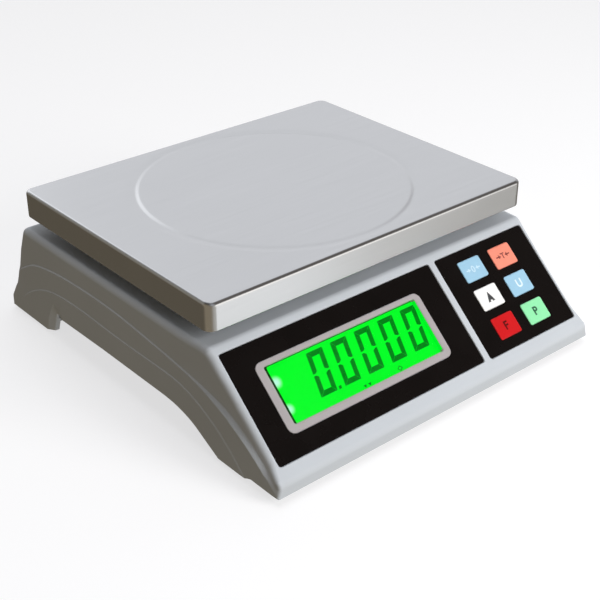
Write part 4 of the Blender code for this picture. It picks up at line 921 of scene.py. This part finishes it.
# the sheet is clear from below, so the underside can be looked at
ft = floor.data.materials[0].node_tree
out = next(n for n in ft.nodes if n.type == "OUTPUT_MATERIAL")
paper = out.inputs["Surface"].links[0].from_socket
side = ft.nodes.new("ShaderNodeNewGeometry")
clear = ft.nodes.new("ShaderNodeBsdfTransparent")
half = ft.nodes.new("ShaderNodeMixShader")
ft.links.new(side.outputs["Backfacing"], half.inputs[0])
ft.links.new(paper, half.inputs[1])
ft.links.new(clear.outputs[0], half.inputs[2])
ft.links.new(half.outputs[0], out.inputs["Surface"])
floor.visible_diffuse = False
floor.visible_glossy = False

world = bpy.data.worlds.new("studio")
SCENE.world = world
world.use_nodes = True
wt = world.node_tree
wn, wl = wt.nodes, wt.links
bg = wn["Background"]
tc = wn.new("ShaderNodeTexCoord")


def lobe(direction, lo, hi):
    """A soft patch of the surroundings about a direction."""
    d = wn.new("ShaderNodeVectorMath")
    d.operation = "DOT_PRODUCT"
    d.inputs[1].default_value = Vector(direction).normalized()
    wl.new(tc.outputs["Generated"], d.inputs[0])
    mr = wn.new("ShaderNodeMapRange")
    mr.interpolation_type = "SMOOTHSTEP"
    mr.inputs["From Min"].default_value, mr.inputs["From Max"].default_value = lo, hi
    wl.new(d.outputs["Value"], mr.inputs["Value"])
    return mr.outputs["Result"]


def over(base, fac, colour):
    m = wn.new("ShaderNodeMix")
    m.data_type = "RGBA"
    wl.new(fac, m.inputs[0])
    if isinstance(base, tuple):
        m.inputs[6].default_value = (*base, 1)
    else:
        wl.new(base, m.inputs[6])
    m.inputs[7].default_value = (*colour, 1)
    return m.outputs[2]


sky = over((0.10, 0.085, 0.065), lobe((0, 0, 1), -0.05, 0.6), (0.42, 0.43, 0.46))
sky = over(sky, lobe((0.35, -0.85, -0.35), 0.45, 0.97), (0.52, 0.51, 0.48))
sky = over(sky, lobe((0.505, -0.70, -0.506), 0.984, 0.9985), (1.22, 1.24, 1.27))
sky = over(sky, lobe((0.505, -0.86, -0.08), 0.925, 0.965), (1.35, 1.31, 1.26))
sky = over(sky, lobe((0.566, 0.661, 0.494), 0.45, 0.90), (0.775, 0.785, 0.815))
sky = over(sky, lobe((0.061, 0.909, 0.414), 0.925, 0.975), (1.20, 1.22, 1.26))
sky = over(sky, lobe((0.889, 0.201, 0.414), 0.925, 0.975), (0.50, 0.50, 0.51))
sky = over(sky, lobe((-0.8, 0.2, 0.55), 0.3, 0.85), (0.07, 0.068, 0.065))
sky = over(sky, lobe((-1.0, 0.0, 0.22), 0.70, 0.97), (0.05, 0.042, 0.03))
sky = over(sky, lobe((-1.0, -0.1, -0.4), 0.1, 0.85), (0.25, 0.21, 0.15))
sky = over(sky, lobe((-0.62, 0.66, 0.40), 0.86, 0.98), (0.25, 0.235, 0.205))
sky = over(sky, lobe((-0.566, 0.661, -0.494), 0.75, 0.97), (0.115, 0.098, 0.072))
sky = over(sky, lobe((0.566, -0.415, 0.714), 0.72, 0.95), (0.12, 0.108, 0.10))
wl.new(sky, bg.inputs["Color"])
bg.inputs["Strength"].default_value = 1.0
# past the floor's edge the studio wall is plain and pale
wall = wn.new("ShaderNodeBackground")
wall.inputs["Color"].default_value = (0.93, 0.93, 0.935, 1)
seen = wn.new("ShaderNodeLightPath")
both = wn.new("ShaderNodeMixShader")
wl.new(seen.outputs["Is Camera Ray"], both.inputs[0])
wl.new(bg.outputs[0], both.inputs[1])
wl.new(wall.outputs[0], both.inputs[2])
wl.new(both.outputs[0], wn["World Output"].inputs["Surface"])


def area(name, at, aim, size, power, colour=(1, 1, 1)):
    d = bpy.data.lights.new(name, "AREA")
    d.shape, d.size, d.energy, d.color = "DISK", size, power, colour
    o = bpy.data.objects.new(name, d)
    SCENE.collection.objects.link(o)
    o.location = at
    o.rotation_euler = (Vector(aim) - Vector(at)).to_track_quat("-Z", "Y").to_euler()
    return o


area("key", (0.42, -1.15, 0.62), (0, -0.05, 0.06), 0.7, 12.0, (1.0, 0.995, 0.98)).visible_glossy = False
area("top", (0.05, -0.1, 1.7), (0, 0, 0.05), 1.2, 8.0, (0.97, 0.98, 1.0)).visible_glossy = False
